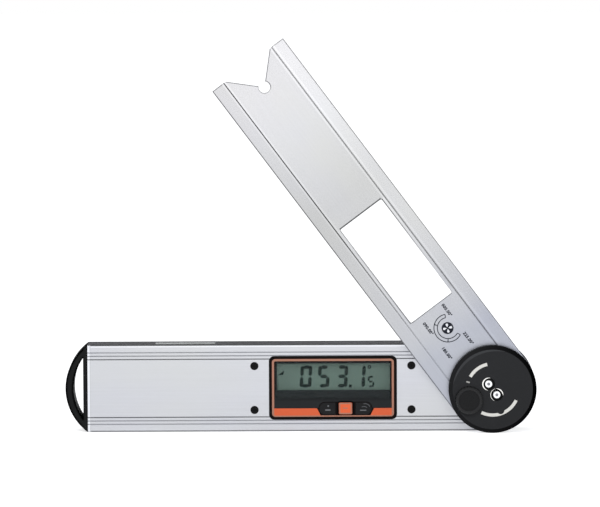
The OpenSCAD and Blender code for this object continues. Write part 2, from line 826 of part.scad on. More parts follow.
module display_chassis() color("#3a3b3d") at_display() difference() {
    union() {
        slab(bezel_back, board_y) round_rect(chassis_l, chassis_w, 2);
        for (x = [-1, 1] * screw_dx / 2, z = display_hole_z) translate([x, 0, z])
            bar(post_r, face_inner, bezel_back + 0.1);
    }
    slab(bezel_back - past, board_y + past) {
        lcd_plate(lcd_foot, lcd_top, 2 * fit);
        translate([button_mid_x, -button_z])
            square([2 * button_pitch + side_button_w + 2.8, button_h + 2], center = true);
    }
    for (x = [-1, 1] * screw_dx / 2, z = display_hole_z) translate([x, 0, z])
        bar(display_screw_r + snug, face_inner - past, board_y + past);
    at_board_screws() bar(board_screw_r + snug, bezel_back + 0.5, board_y + past);
}

module display_screws() color("#101012") on_body() mirror([0, 1, 0])
    at_display_screws()
        flat_screw(display_screw_r, display_head_r, display_head_h, display_screw_l, -body_front);

module main_board() color("#1f5a38") at_display() difference() {
    slab(board_y, board_y + board_t) round_rect(board_l, board_w, 1.5);
    at_board_screws() bar(board_screw_r + fit, board_y - past, board_y + board_t + past);
}

module board_screws() color("silver") at_display()
    at_board_screws() pan_screw(board_screw_r, 1.8, 1.1, board_screw_l, board_y + board_t);

connector_l = 3;
connector_w = cable_w + 2;
chip_w = 10;
chip_x = board_l / 2 - 1.6 * chip_w;
small_part = [2, 0.9, 1.2];
small_pitch = 3.4;
crystal = [4, 1.6, 8];

module board_components() color("#2b2b2e") at_display() {
    back = board_y + board_t;
    translate([chip_x - chip_w / 2, back, chip_w / 5]) cube([chip_w, 1.2, chip_w]);
    translate([board_l / 2 - connector_l - 1, back, -connector_w / 2]) cube([connector_l, 1.4, connector_w]);
    for (i = [0:3])
        translate([chip_x - chip_w / 2 + i * small_pitch, back, -board_w / 3]) cube(small_part);
    translate([-board_l / 2 + 3 * crystal[0], back, -board_w / 4]) cube(crystal);
}

module tactile_switches() color("#3b3b3b") at_display()
    for (i = [-1:1]) at_button(i) {
        slab(board_y - 1.7, board_y) square(4.5, center = true);
        bar(1.2, board_y - 2.1, board_y - 1.6);
    }

button_flange = 0.6;
button_front = body_front - 0.4;
button_back = bezel_back + 0.8;

// One button: a cap through the bezel with a flange behind it.
module button(which) {
    at_display() at_button(which) {
        slab(button_front, button_back) button_outline(which, 0);
        slab(bezel_back + snug, button_back) button_outline(which, button_flange);
    }
}

module zero_button() color("#1d1f22") button(-1);
module hold_button() color("#e8622f") button(0);
module power_button() color("#1d1f22") button(1);

// The flat cable from the stator to the main board, as a folded strip.
cable_t = 0.3;
cable_route = [
    [-display_x + board_l / 2 - 1, board_y + board_t + 0.5],
    [-display_x + board_l / 2 + 6, board_y + board_t + 0.5],
    [-stator_r - 5, stator_y + stator_t],
    [-9, stator_y + stator_t]
];

module ribbon_cable() color("#c9a86a") on_body() translate([0, 0, -cable_w / 2]) linear_extrude(cable_w)
    polygon(concat(cable_route, [for (i = [3:-1:0]) cable_route[i] + [0, cable_t]]));

// ---------------------------------------------------------------------------------------------------
// Battery

holder_r = cell_r + 2.4;
cell_back = plate_inner - 1.2;
cell_front = cell_back - cell_t;
contact_t = 0.25;
boss_x = holder_r + 2.2;
boss_r = 2.6;
cover_screw_r = 1;
cover_head_r = 1.9;
cover_head_h = 0.9;
cover_l = 34;
cover_w = 26;
cover_x = -display_x + 2;
cover_corner_r = 2.5;
cover_step = 3.4;                       // how much smaller the cover's inner step is, across
cover_seat = plate_inner + 0.8;
cover_screw_l = 6;

module battery_holder() color("#2c2c2e") at_display() difference() {
    union() {
        bar(holder_r, board_y + board_t, cell_back);
        translate([boss_x, 0, 0]) bar(boss_r, board_y + board_t, plate_inner - fit);
        slab(board_y + board_t, cell_back) translate([holder_r - 1, -boss_r]) square([2.5, 2 * boss_r]);
    }
    bar(cell_r + fit, cell_front - contact_t, cell_back + past);
    translate([boss_x, 0, 0]) bar(cover_screw_r + snug, body_back - cover_screw_l - past, body_back);
    translate([-3.2, cell_front - contact_t, cell_r - 2]) cube([6.4, 10, 5]);
}

module battery_contacts() color("#c8c9cc") at_display() {
    slab(cell_front - contact_t, cell_front) square([14, 4], center = true);
    translate([-3, cell_front, cell_r + fit]) cube([6, cell_t, contact_t]);
    translate([-3, board_y + board_t, holder_r]) cube([6, cell_back - board_y - board_t, contact_t]);
    translate([-3, cell_back, cell_r + fit]) cube([6, contact_t, holder_r - cell_r]);
}

module coin_cell() color("#c9ccd0") at_display() {
    bar(cell_r - 0.8, cell_front, cell_front + 0.5);
    bar(cell_r, cell_front + 0.4, cell_back);
}

module battery_cover() color("#1c1c1e") on_body() translate([cover_x, 0, 0]) difference() {
    union() {
        slab(cover_seat, body_back) round_rect(cover_l, cover_w, cover_corner_r);
        slab(plate_inner, body_back - 0.5)
            round_rect(cover_l - cover_step - 2 * fit, cover_w - cover_step - 2 * fit, cover_corner_r);
    }
    translate([boss_x - display_x - cover_x, 0, 0]) {
        bar(cover_screw_r + fit, plate_inner - past, body_back + past);
        cone(cover_screw_r + fit, cover_head_r + fit, body_back - cover_head_h, body_back);
    }
    // finger notch and grip lines
    translate([-cover_l / 2, body_back + 3, 0]) cylinder(r = 4, h = 8, center = true);
    for (i = [0:3]) translate([-cover_l / 2 + 7 + i * 1.6, body_back, 0])
        cube([0.6, 0.6, 12], center = true);
}

module battery_cover_screw() color("dimgray") on_body() translate([boss_x - display_x, 0, 0])
    flat_screw(cover_screw_r, cover_head_r, cover_head_h, cover_screw_l, body_back);

// ---------------------------------------------------------------------------------------------------
// Level vial

vial_barrel_r = 3.4;
vial_top = half_w - vial_sink;
vial_mid_z = vial_top - vial_h / 2;
vial_end = 3;                           // solid acrylic at each end of the barrel
bubble_r = 1.9;
bubble_l = 5;
cradle_wall = 2;

// A round bar along X.
module bar_x(r, length) {
    rotate([0, 90, 0]) cylinder(r = r, h = length, center = true);
}

module at_vial() {
    on_body() translate([-vial_x, vial_y, vial_mid_z]) children();
}

module vial_block() color([0.8, 0.9, 0.75, 0.4]) at_vial() difference() {
    cube([vial_l, vial_w, vial_h], center = true);
    bar_x(vial_barrel_r, vial_l - 2 * vial_end);
}

module vial_fluid() color([0.65, 0.85, 0.3, 0.6]) at_vial() difference() {
    bar_x(vial_barrel_r - running, vial_l - 2 * vial_end - 2 * running);
    translate([0, 0, vial_barrel_r - bubble_r + 0.1]) {
        bar_x(bubble_r, bubble_l);
        for (s = [-1, 1]) translate([s * bubble_l / 2, 0, 0]) sphere(bubble_r);
    }
}

module vial_cradle() color("#2c2c2e") on_body() difference() {
    translate([-vial_x - vial_l / 2 - cradle_wall, face_inner, vial_top - vial_h - cradle_wall])
        cube([vial_l + 2 * cradle_wall, rail_y - face_inner - fit, cavity_half - vial_top + vial_h + cradle_wall]);
    translate([-vial_x, vial_y, vial_mid_z])
        cube([vial_l + 2 * fit, vial_w + 2 * fit, vial_h + 2 * fit], center = true);
}

// ---------------------------------------------------------------------------------------------------

main_body();
back_plate();
back_plate_screws();
end_cap();
hub_housing();
pivot_bush();
stator_board();
stator_screws();
hub_back_cap();
display_bezel();
bezel_trim();
display_window();
lcd_panel();
lcd_backlight();
lcd_connector_strip();
display_chassis();
display_screws();
main_board();
board_components();
board_screws();
tactile_switches();
ribbon_cable();
battery_holder();
battery_contacts();
coin_cell();
vial_block();
vial_fluid();
vial_cradle();
zero_button();
hold_button();
power_button();
battery_cover();
battery_cover_screw();
blade();
arm_hub();
hub_disc();
hub_screws();
hub_washers();
pivot_shaft();
stop_pin();
thrust_washer();
disc_spring();
shaft_nut();
rotor_disc();
rotor_screw();
brake_pad();
lock_stud();
lock_knob();
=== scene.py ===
"""Looks, light and camera of the digital angle finder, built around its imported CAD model.

Everything is in metres in the CAD frame: the body stands on z = 0, +X runs towards the pivot and the
display faces -Y. Small pieces are drawn in millimetres about the pivot, in the plane of the front, with
their depth along Y, and then moved to their arm.
"""

import json
import math

import bpy
from mathutils import Matrix, Quaternion, Vector


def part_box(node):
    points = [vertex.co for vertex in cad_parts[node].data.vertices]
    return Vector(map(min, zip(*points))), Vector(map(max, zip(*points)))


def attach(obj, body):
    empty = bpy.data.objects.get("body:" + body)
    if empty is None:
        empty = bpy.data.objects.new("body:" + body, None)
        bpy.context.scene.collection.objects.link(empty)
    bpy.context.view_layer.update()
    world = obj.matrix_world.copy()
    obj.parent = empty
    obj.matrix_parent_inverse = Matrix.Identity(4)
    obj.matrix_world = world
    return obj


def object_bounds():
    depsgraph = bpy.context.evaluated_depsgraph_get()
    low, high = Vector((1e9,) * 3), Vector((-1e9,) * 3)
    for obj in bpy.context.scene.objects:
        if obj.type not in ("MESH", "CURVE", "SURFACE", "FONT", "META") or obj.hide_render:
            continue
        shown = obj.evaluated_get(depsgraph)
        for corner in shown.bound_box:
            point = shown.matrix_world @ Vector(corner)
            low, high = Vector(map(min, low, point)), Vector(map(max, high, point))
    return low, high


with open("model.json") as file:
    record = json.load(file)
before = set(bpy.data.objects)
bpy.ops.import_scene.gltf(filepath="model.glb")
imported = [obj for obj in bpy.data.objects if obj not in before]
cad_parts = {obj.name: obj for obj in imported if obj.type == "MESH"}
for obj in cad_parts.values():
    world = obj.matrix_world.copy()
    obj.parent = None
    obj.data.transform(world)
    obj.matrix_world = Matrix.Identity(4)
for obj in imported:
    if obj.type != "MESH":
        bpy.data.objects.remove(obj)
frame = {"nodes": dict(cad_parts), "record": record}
cad_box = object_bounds()

MM = 0.001
joints = {joint["name"]: joint for joint in frame["record"]["behaviour"]["joints"]}
PIVOT = Vector(joints["arm_swing"]["pos_m"])
READING = -joints["arm_swing"]["range_deg"][0]  # degrees between the arms at rest
ORIGIN = (PIVOT.x, 0, PIVOT.z)              # of both arms' own millimetre frames

ON_BODY = Matrix.Translation(ORIGIN) @ Matrix.Scale(MM, 4)
ON_BLADE = (Matrix.Translation(ORIGIN)
            @ Matrix.Rotation(math.radians(READING), 4, "Y") @ Matrix.Scale(MM, 4))


def level(node, side):
    """The lowest (side 0) or highest (side 1) Y of a CAD node, in millimetres."""
    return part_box(node)[side][1] / MM


def front_box(node):
    """Left, foot, right and top of a CAD node as seen from the front, in millimetres about the pivot."""
    low, high = (Vector(corner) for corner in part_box(node))
    return ((low.x - PIVOT.x) / MM, (low.z - PIVOT.z) / MM,
            (high.x - PIVOT.x) / MM, (high.z - PIVOT.z) / MM)


def middle(node):
    """The middle of a CAD node's box, in millimetres about the pivot."""
    low, high = (Vector(corner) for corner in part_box(node))
    centre = (low + high) / 2
    return Vector(((centre.x - PIVOT.x) / MM, centre.y / MM, (centre.z - PIVOT.z) / MM))


# -----------------------------------------------------------------------------
# Shader helpers

OCTAVE_SHARE = 0.55                         # how much each finer layer of a noise counts
NOISE = (0.3, 0.7)                          # most values of a noise lie between these
EDGE_COSINES = (0.86, 0.995)                # a face's rounded edge fades out between these


class Nodes:
    """A node tree with short ways to add to it. Each value that they take may also be a socket."""

    # First input, second input and output of a Mix node, by kind of data
    MIX_SOCKETS = {"FLOAT": (2, 3, 0), "RGBA": (6, 7, 2)}

    def __init__(self, tree):
        self.tree = tree

    def add(self, kind, **settings):
        node = self.tree.nodes.new(kind)
        for key, value in settings.items():
            setattr(node, key, value)
        return node

    def link(self, source, target):
        self.tree.links.new(source, target)

    def feed(self, target, source):
        """Links an input to a socket, or sets it to a number, a vector or a colour of three numbers."""
        if hasattr(source, "is_output"):
            self.link(source, target)
        elif target.type == "RGBA":
            target.default_value = (*source, 1.0)
        else:
            target.default_value = source

    def maths(self, operation, a, b=0.0):
        node = self.add("ShaderNodeMath", operation=operation)
        self.feed(node.inputs[0], a)
        self.feed(node.inputs[1], b)
        return node.outputs[0]

    def vector_maths(self, operation, a, b=(0, 0, 0), output="Vector"):
        node = self.add("ShaderNodeVectorMath", operation=operation)
        self.feed(node.inputs[0], a)
        self.feed(node.inputs[1], b)
        return node.outputs[output]

    def mix(self, kind, factor, first, second, **settings):
        first_input, second_input, output = self.MIX_SOCKETS[kind]
        node = self.add("ShaderNodeMix", data_type=kind, **settings)
        self.feed(node.inputs[0], factor)
        self.feed(node.inputs[first_input], first)
        self.feed(node.inputs[second_input], second)
        return node.outputs[output]


materials = {}                              # every material, by name


class Shader(Nodes):
    """A new material with a Principled shader, whose patterns lie in its object's coordinates."""

    def __init__(self, name, metallic=0.0, specular=0.5):
        self.material = bpy.data.materials.new(name)
        materials[name] = self.material
        self.material.use_nodes = True
        super().__init__(self.material.node_tree)
        self.principled = self.tree.nodes["Principled BSDF"]
        self.set("Metallic", metallic)
        self.set("Specular IOR Level", specular)
        self.object_coords = self.add("ShaderNodeTexCoord").outputs["Object"]

    def set(self, socket, source):
        """Feeds an input of the Principled shader."""
        self.feed(self.principled.inputs[socket], source)

    def mapped(self, scale, turn=0.0, origin=(0, 0, 0)):
        """Object coordinates about an origin, turned back by "turn" degrees about Y and then scaled."""
        rotate = self.add("ShaderNodeVectorRotate", rotation_type="Y_AXIS")
        self.link(self.vector_maths("SUBTRACT", self.object_coords, origin), rotate.inputs["Vector"])
        rotate.inputs["Angle"].default_value = -math.radians(turn)
        return self.vector_maths("MULTIPLY", rotate.outputs[0], scale)

    def noise(self, scale, detail, turn=0.0, origin=(0, 0, 0)):
        """Noise with so many periods to the metre, along X, Y and Z or along all of them alike."""
        if not isinstance(scale, tuple):
            scale = (scale, scale, scale)
        node = self.add("ShaderNodeTexNoise")
        for name, value in (("Vector", self.mapped(scale, turn, origin)), ("Scale", 1.0),
                            ("Detail", detail), ("Roughness", OCTAVE_SHARE)):
            self.feed(node.inputs[name], value)
        return node.outputs["Fac"]

    def ranged(self, source, low, high, start=0.0, end=1.0):
        """Maps start..end of a value to low..high, clamped."""
        node = self.add("ShaderNodeMapRange")
        for name, value in (("Value", source), ("From Min", start), ("From Max", end),
                            ("To Min", low), ("To Max", high)):
            self.feed(node.inputs[name], value)
        return node.outputs["Result"]

    def within(self, value, low, high):
        """1 where a value lies between two bounds, and 0 elsewhere."""
        above = self.maths("GREATER_THAN", value, low)
        return self.maths("MULTIPLY", above, self.maths("LESS_THAN", value, high))

    def mixed(self, factor, first, second):
        """A colour between two colours."""
        return self.mix("RGBA", factor, first, second)

    def blended(self, factor, first, second):
        """A number between two numbers."""
        return self.mix("FLOAT", factor, first, second)

    def multiplied(self, color, gain):
        """A colour multiplied by a number or by another colour, each a socket."""
        return self.mix("RGBA", 1.0, color, gain, blend_type="MULTIPLY")

    def ramp(self, value, stops):
        """A colour that follows a value through stops (place, colour), from 0 to 1."""
        node = self.add("ShaderNodeValToRGB")
        elements = node.color_ramp.elements
        for element, (place, color) in zip(elements, (stops[0], stops[-1])):
            element.position = place
            element.color = (*color, 1)
        for place, color in stops[1:-1]:
            elements.new(place).color = (*color, 1)
        self.link(value, node.inputs["Fac"])
        return node.outputs["Color"]

    def axis(self, vector, name):
        node = self.add("ShaderNodeSeparateXYZ")
        self.link(vector, node.inputs[0])
        return node.outputs[name]

    def bump(self, height, strength, distance):
        """Gives the surface a relief, its distance in millimetres."""
        node = self.add("ShaderNodeBump")
        for name, value in (("Height", height), ("Strength", strength), ("Distance", distance * MM)):
            self.feed(node.inputs[name], value)
        self.set("Normal", node.outputs["Normal"])

    def edges(self, radius):
        """1 along the edges of the geometry, within about the radius of them, and 0 elsewhere."""
        bevel = self.add("ShaderNodeBevel", samples=6)
        bevel.inputs["Radius"].default_value = radius
        geometry = self.add("ShaderNodeNewGeometry")
        cosine = self.vector_maths("DOT_PRODUCT", bevel.outputs[0], geometry.outputs["Normal"], "Value")
        return self.ranged(cosine, 1.0, 0.0, *EDGE_COSINES)


def scaled(color, factor):
    return tuple(min(1.0, channel * factor) for channel in color)


# -----------------------------------------------------------------------------
# Kinds of material. Each function files a new one under its name in "materials".

# Noises, in periods to the metre
LONG_STROKES = (9, 900, 900)                # of the brushing
SHORT_STROKES = (40, 4200, 4200)
METAL_CLOUDS = (14, 30, 30)
METAL_GRAIN = 2500
BLOTCHES = 60                               # on plastic and paint
FLOW = (120, 400, 400)
BOARD_WEAVE = 1800
STRIP_GRAIN = 2000
GLASS_CLOUDS = 45
GLASS_ROWS = (300, 300, 5200)

LONG_SHARE = 0.55                           # share of the long strokes in the brushing
STREAK = 0.07                               # how much lighter and darker the strokes are
WARMER = (1.04, 1.04, 0.965)                # tint of the clouds on metal
RING_SHARE = 0.3                            # share of the lathe's rings against the grain
TRACKS = (("Scale", 160.0), ("Mortar Size", 0.06))  # of a circuit board


def brushed(name, color, rough, turn=0.0, bands=(), patches=(), fade=(0.0, 1.0), rails=None, slope=(),
            outline=0.6, outline_w=0.4):
    """Metal with brushing along X, turned by "turn" degrees, and painted shade on its sharp edges, set by
    "outline".

    bands = [((low, high), (near, far), (gain, end gain)), ...] paint shade and highlights between two
    heights across the arm and two levels of Y, as in a groove or on a rounded edge. The gain goes over to
    the end gain between the two places along X in "fade". patches = [((start, end), (low, high), (near,
    far), (gain, end gain)), ...] do so between two places along X only. rails = (half width, (gain, end
    gain) of the lower rail, the same of the upper rail) paints light and shade on what lies further than
    the half width from the arm's middle line. slope = ((distance from the pivot, share of the colour), ...)
    paints shade along the arm."""
    shader = Shader(name, metallic=1.0)
    place = shader.mapped((1 / MM, 1 / MM, 1 / MM), turn, ORIGIN)
    along, depth, across = (shader.axis(place, axis) for axis in "XYZ")

    def inside(heights, levels):
        return shader.maths("MULTIPLY", shader.within(across, *heights), shader.within(depth, *levels))

    long_strokes = shader.noise(LONG_STROKES, 4, turn, ORIGIN)
    short_strokes = shader.noise(SHORT_STROKES, 2, turn, ORIGIN)
    clouds = shader.noise(METAL_CLOUDS, 2, turn, ORIGIN)
    strokes = shader.maths("ADD", shader.maths("MULTIPLY", long_strokes, LONG_SHARE),
                           shader.maths("MULTIPLY", short_strokes, 1 - LONG_SHARE))
    tone = shader.mixed(shader.ranged(strokes, 0, 1, *NOISE),
                        scaled(color, 1 - STREAK), scaled(color, 1 + STREAK))
    warm = tuple(channel * share for channel, share in zip(color, WARMER))
    tone = shader.mixed(shader.ranged(clouds, 0, 0.7, 0.35, 0.75), tone, warm)
    part = shader.ranged(along, 0, 1, *fade)
    gain = shader.ranged(shader.edges(outline_w * MM), 1.0, outline)
    for heights, levels, gains in bands:
        gain = shader.blended(inside(heights, levels), gain, shader.blended(part, *gains))
    for places, heights, levels, gains in patches:
        patch = shader.maths("MULTIPLY", inside(heights, levels), shader.within(along, *places))
        gain = shader.blended(patch, gain, shader.ranged(along, *gains, *places))
    if rails is not None:
        for side, gains in ((-1, rails[1]), (1, rails[2])):
            outside = shader.maths("GREATER_THAN", shader.maths("MULTIPLY", across, side), rails[0])
            rail = shader.maths("MULTIPLY", gain, shader.blended(part, *gains))
            gain = shader.blended(outside, gain, rail)
    tone = shader.multiplied(tone, gain)
    if slope:
        far, near = slope[0][0], slope[-1][0]
        stops = [((far - distance) / (far - near), share) for distance, share in slope]
        tone = shader.multiplied(tone, shader.ramp(shader.ranged(along, 0, 1, -far, -near), stops))
    shader.set("Base Color", tone)
    shader.set("Roughness", shader.ranged(strokes, rough - 0.06, rough + 0.08, *NOISE))
    shader.bump(strokes, 0.12, 0.03)


def moulded(name, color, rough, specular=0.3, grain=2600, depth=0.02, tone=0.12, edge_gain=1.0, edge_w=0.3,
            rim=None):
    """Plastic or paint with a fine eroded texture. "edge_gain" is the tone along its edges: a painted
    highlight above 1 and painted shade below it. rim = (radius, (left gain, right gain), centre) paints
    shade (gains below 1) or light (above 1) on what lies further than the radius from an axis along Y
    through the centre."""
    shader = Shader(name, specular=specular)
    grains = shader.noise(grain, 3)
    blotches = shader.noise(BLOTCHES, 3)
    base = shader.mixed(shader.ranged(grains, 0, 1, 0.35, 0.65),
                        scaled(color, 1 - tone), scaled(color, 1 + tone))
    base = shader.mixed(shader.ranged(blotches, 0, 0.4, 0.4, 0.8), base, scaled(color, 1 + 1.5 * tone))
    gain = None
    if edge_gain != 1.0:
        gain = shader.ranged(shader.edges(edge_w * MM), 1.0, edge_gain)
    if rim is not None:
        radius, gains, (x, z) = rim
        about = shader.mapped((1 / MM, 0, 1 / MM), 0.0, (PIVOT.x + x * MM, 0, PIVOT.z + z * MM))
        outside = shader.maths("GREATER_THAN", shader.vector_maths("LENGTH", about, output="Value"), radius)
        far_gain = shader.ranged(shader.axis(about, "X"), *gains, -radius, radius)
        far_gain = shader.blended(outside, 1.0, far_gain)
        gain = far_gain if gain is None else shader.maths("MULTIPLY", far_gain, gain)
    if gain is not None:
        base = shader.multiplied(base, gain)
        shader.set("Specular IOR Level", shader.maths("MULTIPLY", gain, specular))
    shader.set("Base Color", base)
    shader.set("Roughness", shader.ranged(grains, rough - 0.07, rough + 0.07, *NOISE))
    shader.bump(grains, 0.25, depth)


def waves(shader, place, pitch):
    """A sine wave over a place in metres, with a pitch in millimetres."""
    return shader.maths("SINE", shader.maths("MULTIPLY", place, 2 * math.pi / (pitch * MM)))


def turned_metal(name, color, rough, pitch=0.12):
    """Metal with the fine rings that a lathe leaves about the pivot."""
    shader = Shader(name, metallic=1.0)
    distance = shader.vector_maths("LENGTH", shader.mapped((1, 0, 1), 0.0, ORIGIN), output="Value")
    rings = waves(shader, distance, pitch)
    grains = shader.noise(METAL_GRAIN, 2)
    lines = shader.maths("ADD", shader.maths("MULTIPLY", rings, RING_SHARE), grains)
    shader.set("Base Color", shader.mixed(shader.ranged(lines, 0, 1, 0.2, 0.9), scaled(color, 0.86), color))
    shader.set("Roughness", shader.ranged(lines, rough - 0.05, rough + 0.08, 0.2, 0.9))
    shader.bump(lines, 0.1, 0.01)


def clear(name, color, alpha, haze=0.25):
    """Clear plastic or liquid: faint flow lines and a little colour over what lies behind."""
    shader = Shader(name, specular=0.4)
    flow = shader.noise(FLOW, 2)
    shader.set("Base Color", shader.mixed(flow, scaled(color, 0.9), color))
    shader.set("Roughness", shader.ranged(flow, 0.06, 0.11))
    shader.set("Alpha", shader.ranged(flow, alpha * (1 - haze), alpha * (1 + haze), *NOISE))


def circuit(name, mask, copper):
    """Solder mask over a pattern of tracks, with fine weave below."""
    shader = Shader(name, specular=0.5)
    plane = shader.add("ShaderNodeCombineXYZ")
    shader.link(shader.axis(shader.object_coords, "X"), plane.inputs[0])
    shader.link(shader.axis(shader.object_coords, "Z"), plane.inputs[1])
    tracks = shader.add("ShaderNodeTexBrick")
    for socket, value in (("Vector", plane.outputs[0]), *TRACKS,
                          ("Color1", mask), ("Color2", scaled(mask, 0.8)), ("Mortar", copper)):
        shader.feed(tracks.inputs[socket], value)
    shader.set("Base Color", tracks.outputs["Color"])
    weave = shader.noise(BOARD_WEAVE, 2)
    shader.set("Roughness", shader.ranged(weave, 0.3, 0.45))
    shader.bump(weave, 0.15, 0.02)


def striped(name, light, dark, pitch, rough):
    """Fine stripes across X, as on a connector strip or a flat cable seen from above."""
    shader = Shader(name, specular=0.3)
    wave = waves(shader, shader.axis(shader.object_coords, "X"), pitch)
    shader.set("Base Color", shader.mixed(shader.ranged(wave, 0, 1, -0.3, 0.3), light, dark))
    grains = shader.noise(STRIP_GRAIN, 2)
    shader.set("Roughness", shader.ranged(grains, rough - 0.05, rough + 0.1))
    shader.bump(grains, 0.1, 0.01)


def liquid_crystal(name, color):
    """The display's glass: grey-green with a faint row pattern and slow clouding."""
    shader = Shader(name, specular=0.2)
    clouds = shader.noise(GLASS_CLOUDS, 3)
    rows = shader.noise(GLASS_ROWS, 1)
    tone = shader.mixed(shader.ranged(clouds, 0, 1, *NOISE), scaled(color, 0.86), scaled(color, 1.12))
    tone = shader.mixed(shader.ranged(rows, 0, 0.3, *NOISE), tone, scaled(color, 0.8))
    shader.set("Base Color", tone)
    shader.set("Roughness", shader.ranged(clouds, 0.3, 0.4))


# -----------------------------------------------------------------------------
# Materials: one for each slot of the record, and those of the pieces made below

ALUMINIUM = (0.492, 0.5, 0.535)
BLADE = (0.521, 0.518, 0.54)
BLACK = (0.010, 0.0103, 0.011)
ORANGE = (0.68, 0.105, 0.028)
# SALMON: a painted highlight on the raised orange edges, and also the middle key's print
SALMON = (0.38, 0.165, 0.105)
PRINT = (0.012, 0.014, 0.022)

disc = front_box("hub_disc")
ARM_HALF = (disc[2] - disc[0]) / 2          # half width of both arms
WEB_HALF = ARM_HALF - 8.0                   # half width of the blade's recessed web
EDGE = 0.6                                  # rounding of the arms' long edges
body_front = level("main_body", 0)
blade_front = level("blade", 0)
WEB_DEPTH = 0.4                             # of the web behind the blade's rails
web_front = blade_front + WEB_DEPTH
GROOVE_END = 0.6                            # deeper than any groove along the arms


def surface(front, depth=0.05):
    """Levels of Y from just before a face to a depth behind it."""
    return front - 0.1, front + depth


# Painted shade in the body's three grooves on each side: (distance from the long edge, tone), from the
# middle outwards
BODY_GROOVES = ((8.6, 0.57), (6.6, 0.87), (4.6, 0.92))
GROOVE_HALF = 0.35
body_bands = [((side * (ARM_HALF - inset) - GROOVE_HALF, side * (ARM_HALF - inset) + GROOVE_HALF),
               (body_front + 0.03, body_front + GROOVE_END), (gain, gain))
              for inset, gain in BODY_GROOVES for side in (-1, 1)]
# Painted shade on its long edges, a painted highlight beside the upper one, and painted shade on the top
# face, which is a little darker
body_bands += [
    ((ARM_HALF - EDGE, ARM_HALF + 0.1), surface(body_front, EDGE), (0.12, 0.12)),
    ((ARM_HALF - 2.5 * EDGE, ARM_HALF - EDGE), surface(body_front, 0.02), (1.3, 1.3)),
    ((-ARM_HALF - 0.1, -ARM_HALF + 1.5 * EDGE), surface(body_front, EDGE), (0.38, 0.38)),
    ((ARM_HALF - 0.05, ARM_HALF + 0.1), (body_front + EDGE, level("main_body", 1) + 0.1), (0.8, 0.8)),
]
# A painted highlight along its free end, with a darker line of painted shade beside it
arm_end = front_box("main_body")[0]
BRIGHT_END, DARK_END = 1.3, 1.8             # where the two end, from the free end
whole_face = ((-ARM_HALF - 1, ARM_HALF + 1), surface(body_front))
body_ends = [((arm_end - 0.1, arm_end + BRIGHT_END), *whole_face, (1.34, 1.34)),
             ((arm_end + BRIGHT_END, arm_end + DARK_END), *whole_face, (0.92, 0.92))]

# Along the blade: painted shade in a groove at the foot of each rail with painted highlights beside it, and
# painted shade along the outer edges. Gains go from the far half of the blade to the hub.
HUB_FADE = (-120, -45)
rail_level = surface(blade_front)
web_level = (web_front - 0.05, web_front + 0.05)
groove_level = (web_front + 0.05, web_front + GROOVE_END)
edge_level = surface(blade_front, EDGE)
blade_bands = [
    ((-WEB_HALF - 1.0, -WEB_HALF - 0.1), rail_level, (1.14, 1.0)),
    ((-WEB_HALF + 0.55, -WEB_HALF + 1.6), web_level, (1.12, 1.0)),
    ((WEB_HALF + 0.6, WEB_HALF + 1.7), rail_level, (1.1, 1.08)),
    ((WEB_HALF - 1.7, WEB_HALF - 0.4), web_level, (1.14, 1.0)),
    ((-WEB_HALF, -WEB_HALF + 0.5), groove_level, (0.15, 0.95)),
    ((WEB_HALF - 0.35, WEB_HALF), groove_level, (0.42, 0.35)),
    ((-ARM_HALF - 0.1, -ARM_HALF + 0.6), edge_level, (0.3, 0.42)),
    ((ARM_HALF - 0.4, ARM_HALF + 0.1), edge_level, (0.72, 0.6)),
]
# Painted shade and highlights round the window, given by its ends along the blade and its half width
WINDOW, WINDOW_HALF = (-127.5, -58.9), 15.0
window_patches = [
    ((WINDOW[0] - 0.8, WINDOW[0] + 0.1), (-WINDOW_HALF, WINDOW_HALF), web_level, (0.22, 0.22)),
    ((WINDOW[0], -72), (WINDOW_HALF, WINDOW_HALF + 0.6), web_level, (0.25, 0.95)),
    ((WINDOW[0], -62), (WINDOW_HALF + 0.7, WEB_HALF - 0.4), web_level, (1.3, 0.95)),
    ((-112, WINDOW[1]), (-WINDOW_HALF - 0.6, -WINDOW_HALF), web_level, (0.7, 0.4)),
    (WINDOW, (-WEB_HALF + 0.55, -WINDOW_HALF - 0.7), web_level, (1.12, 1.05)),
]
# Painted light and shade on the rails: towards the far end the lower one is darker and the upper one
# lighter
RAILS = (WEB_HALF, (0.92, 1.0), (1.11, 0.97))
# Painted shade: the blade gets darker and bluer towards the hub: (distance from the pivot, share of its
# colour)
BLADE_SLOPE = ((220, (1.0, 1.0, 1.0)), (190, (0.95, 0.96, 0.96)), (140, (0.82, 0.83, 0.82)),
               (95, (0.85, 0.86, 0.85)), (50, (0.79, 0.81, 0.84)), (34, (0.7, 0.73, 0.8)))

knob = middle("lock_knob")
# A painted highlight on the knob's outer ring
knob_rim = (6.0, (1.6, 1.6), (knob.x, knob.z))  # the knob's lighter outer ring
# Painted shade on the disc's rim, darker towards the right
disc_rim = (ARM_HALF - 2.3, (0.6, 0.05), (0, 0))  # the disc's darker rim

# Arms and plates
brushed("body_aluminium", ALUMINIUM, 0.36, bands=body_bands, patches=body_ends, outline=0.5)
brushed("plate_aluminium", scaled(ALUMINIUM, 0.9), 0.4)
brushed("blade_aluminium", BLADE, 0.38, READING, bands=blade_bands, patches=window_patches,
        fade=HUB_FADE, rails=RAILS, slope=BLADE_SLOPE, outline=0.25, outline_w=0.8)
# Black plastic and paint
# Painted shade darkens the cap's edges
moulded("black_cap", scaled(BLACK, 0.6), 0.5, specular=0.1, edge_gain=0.06, edge_w=1.3)
# Painted highlights along the disc's edges and painted shade on its rim
moulded("hub_black", scaled(BLACK, 2.3), 0.42, specular=0.06, grain=3600, depth=0.01,
        edge_gain=1.6, rim=disc_rim)
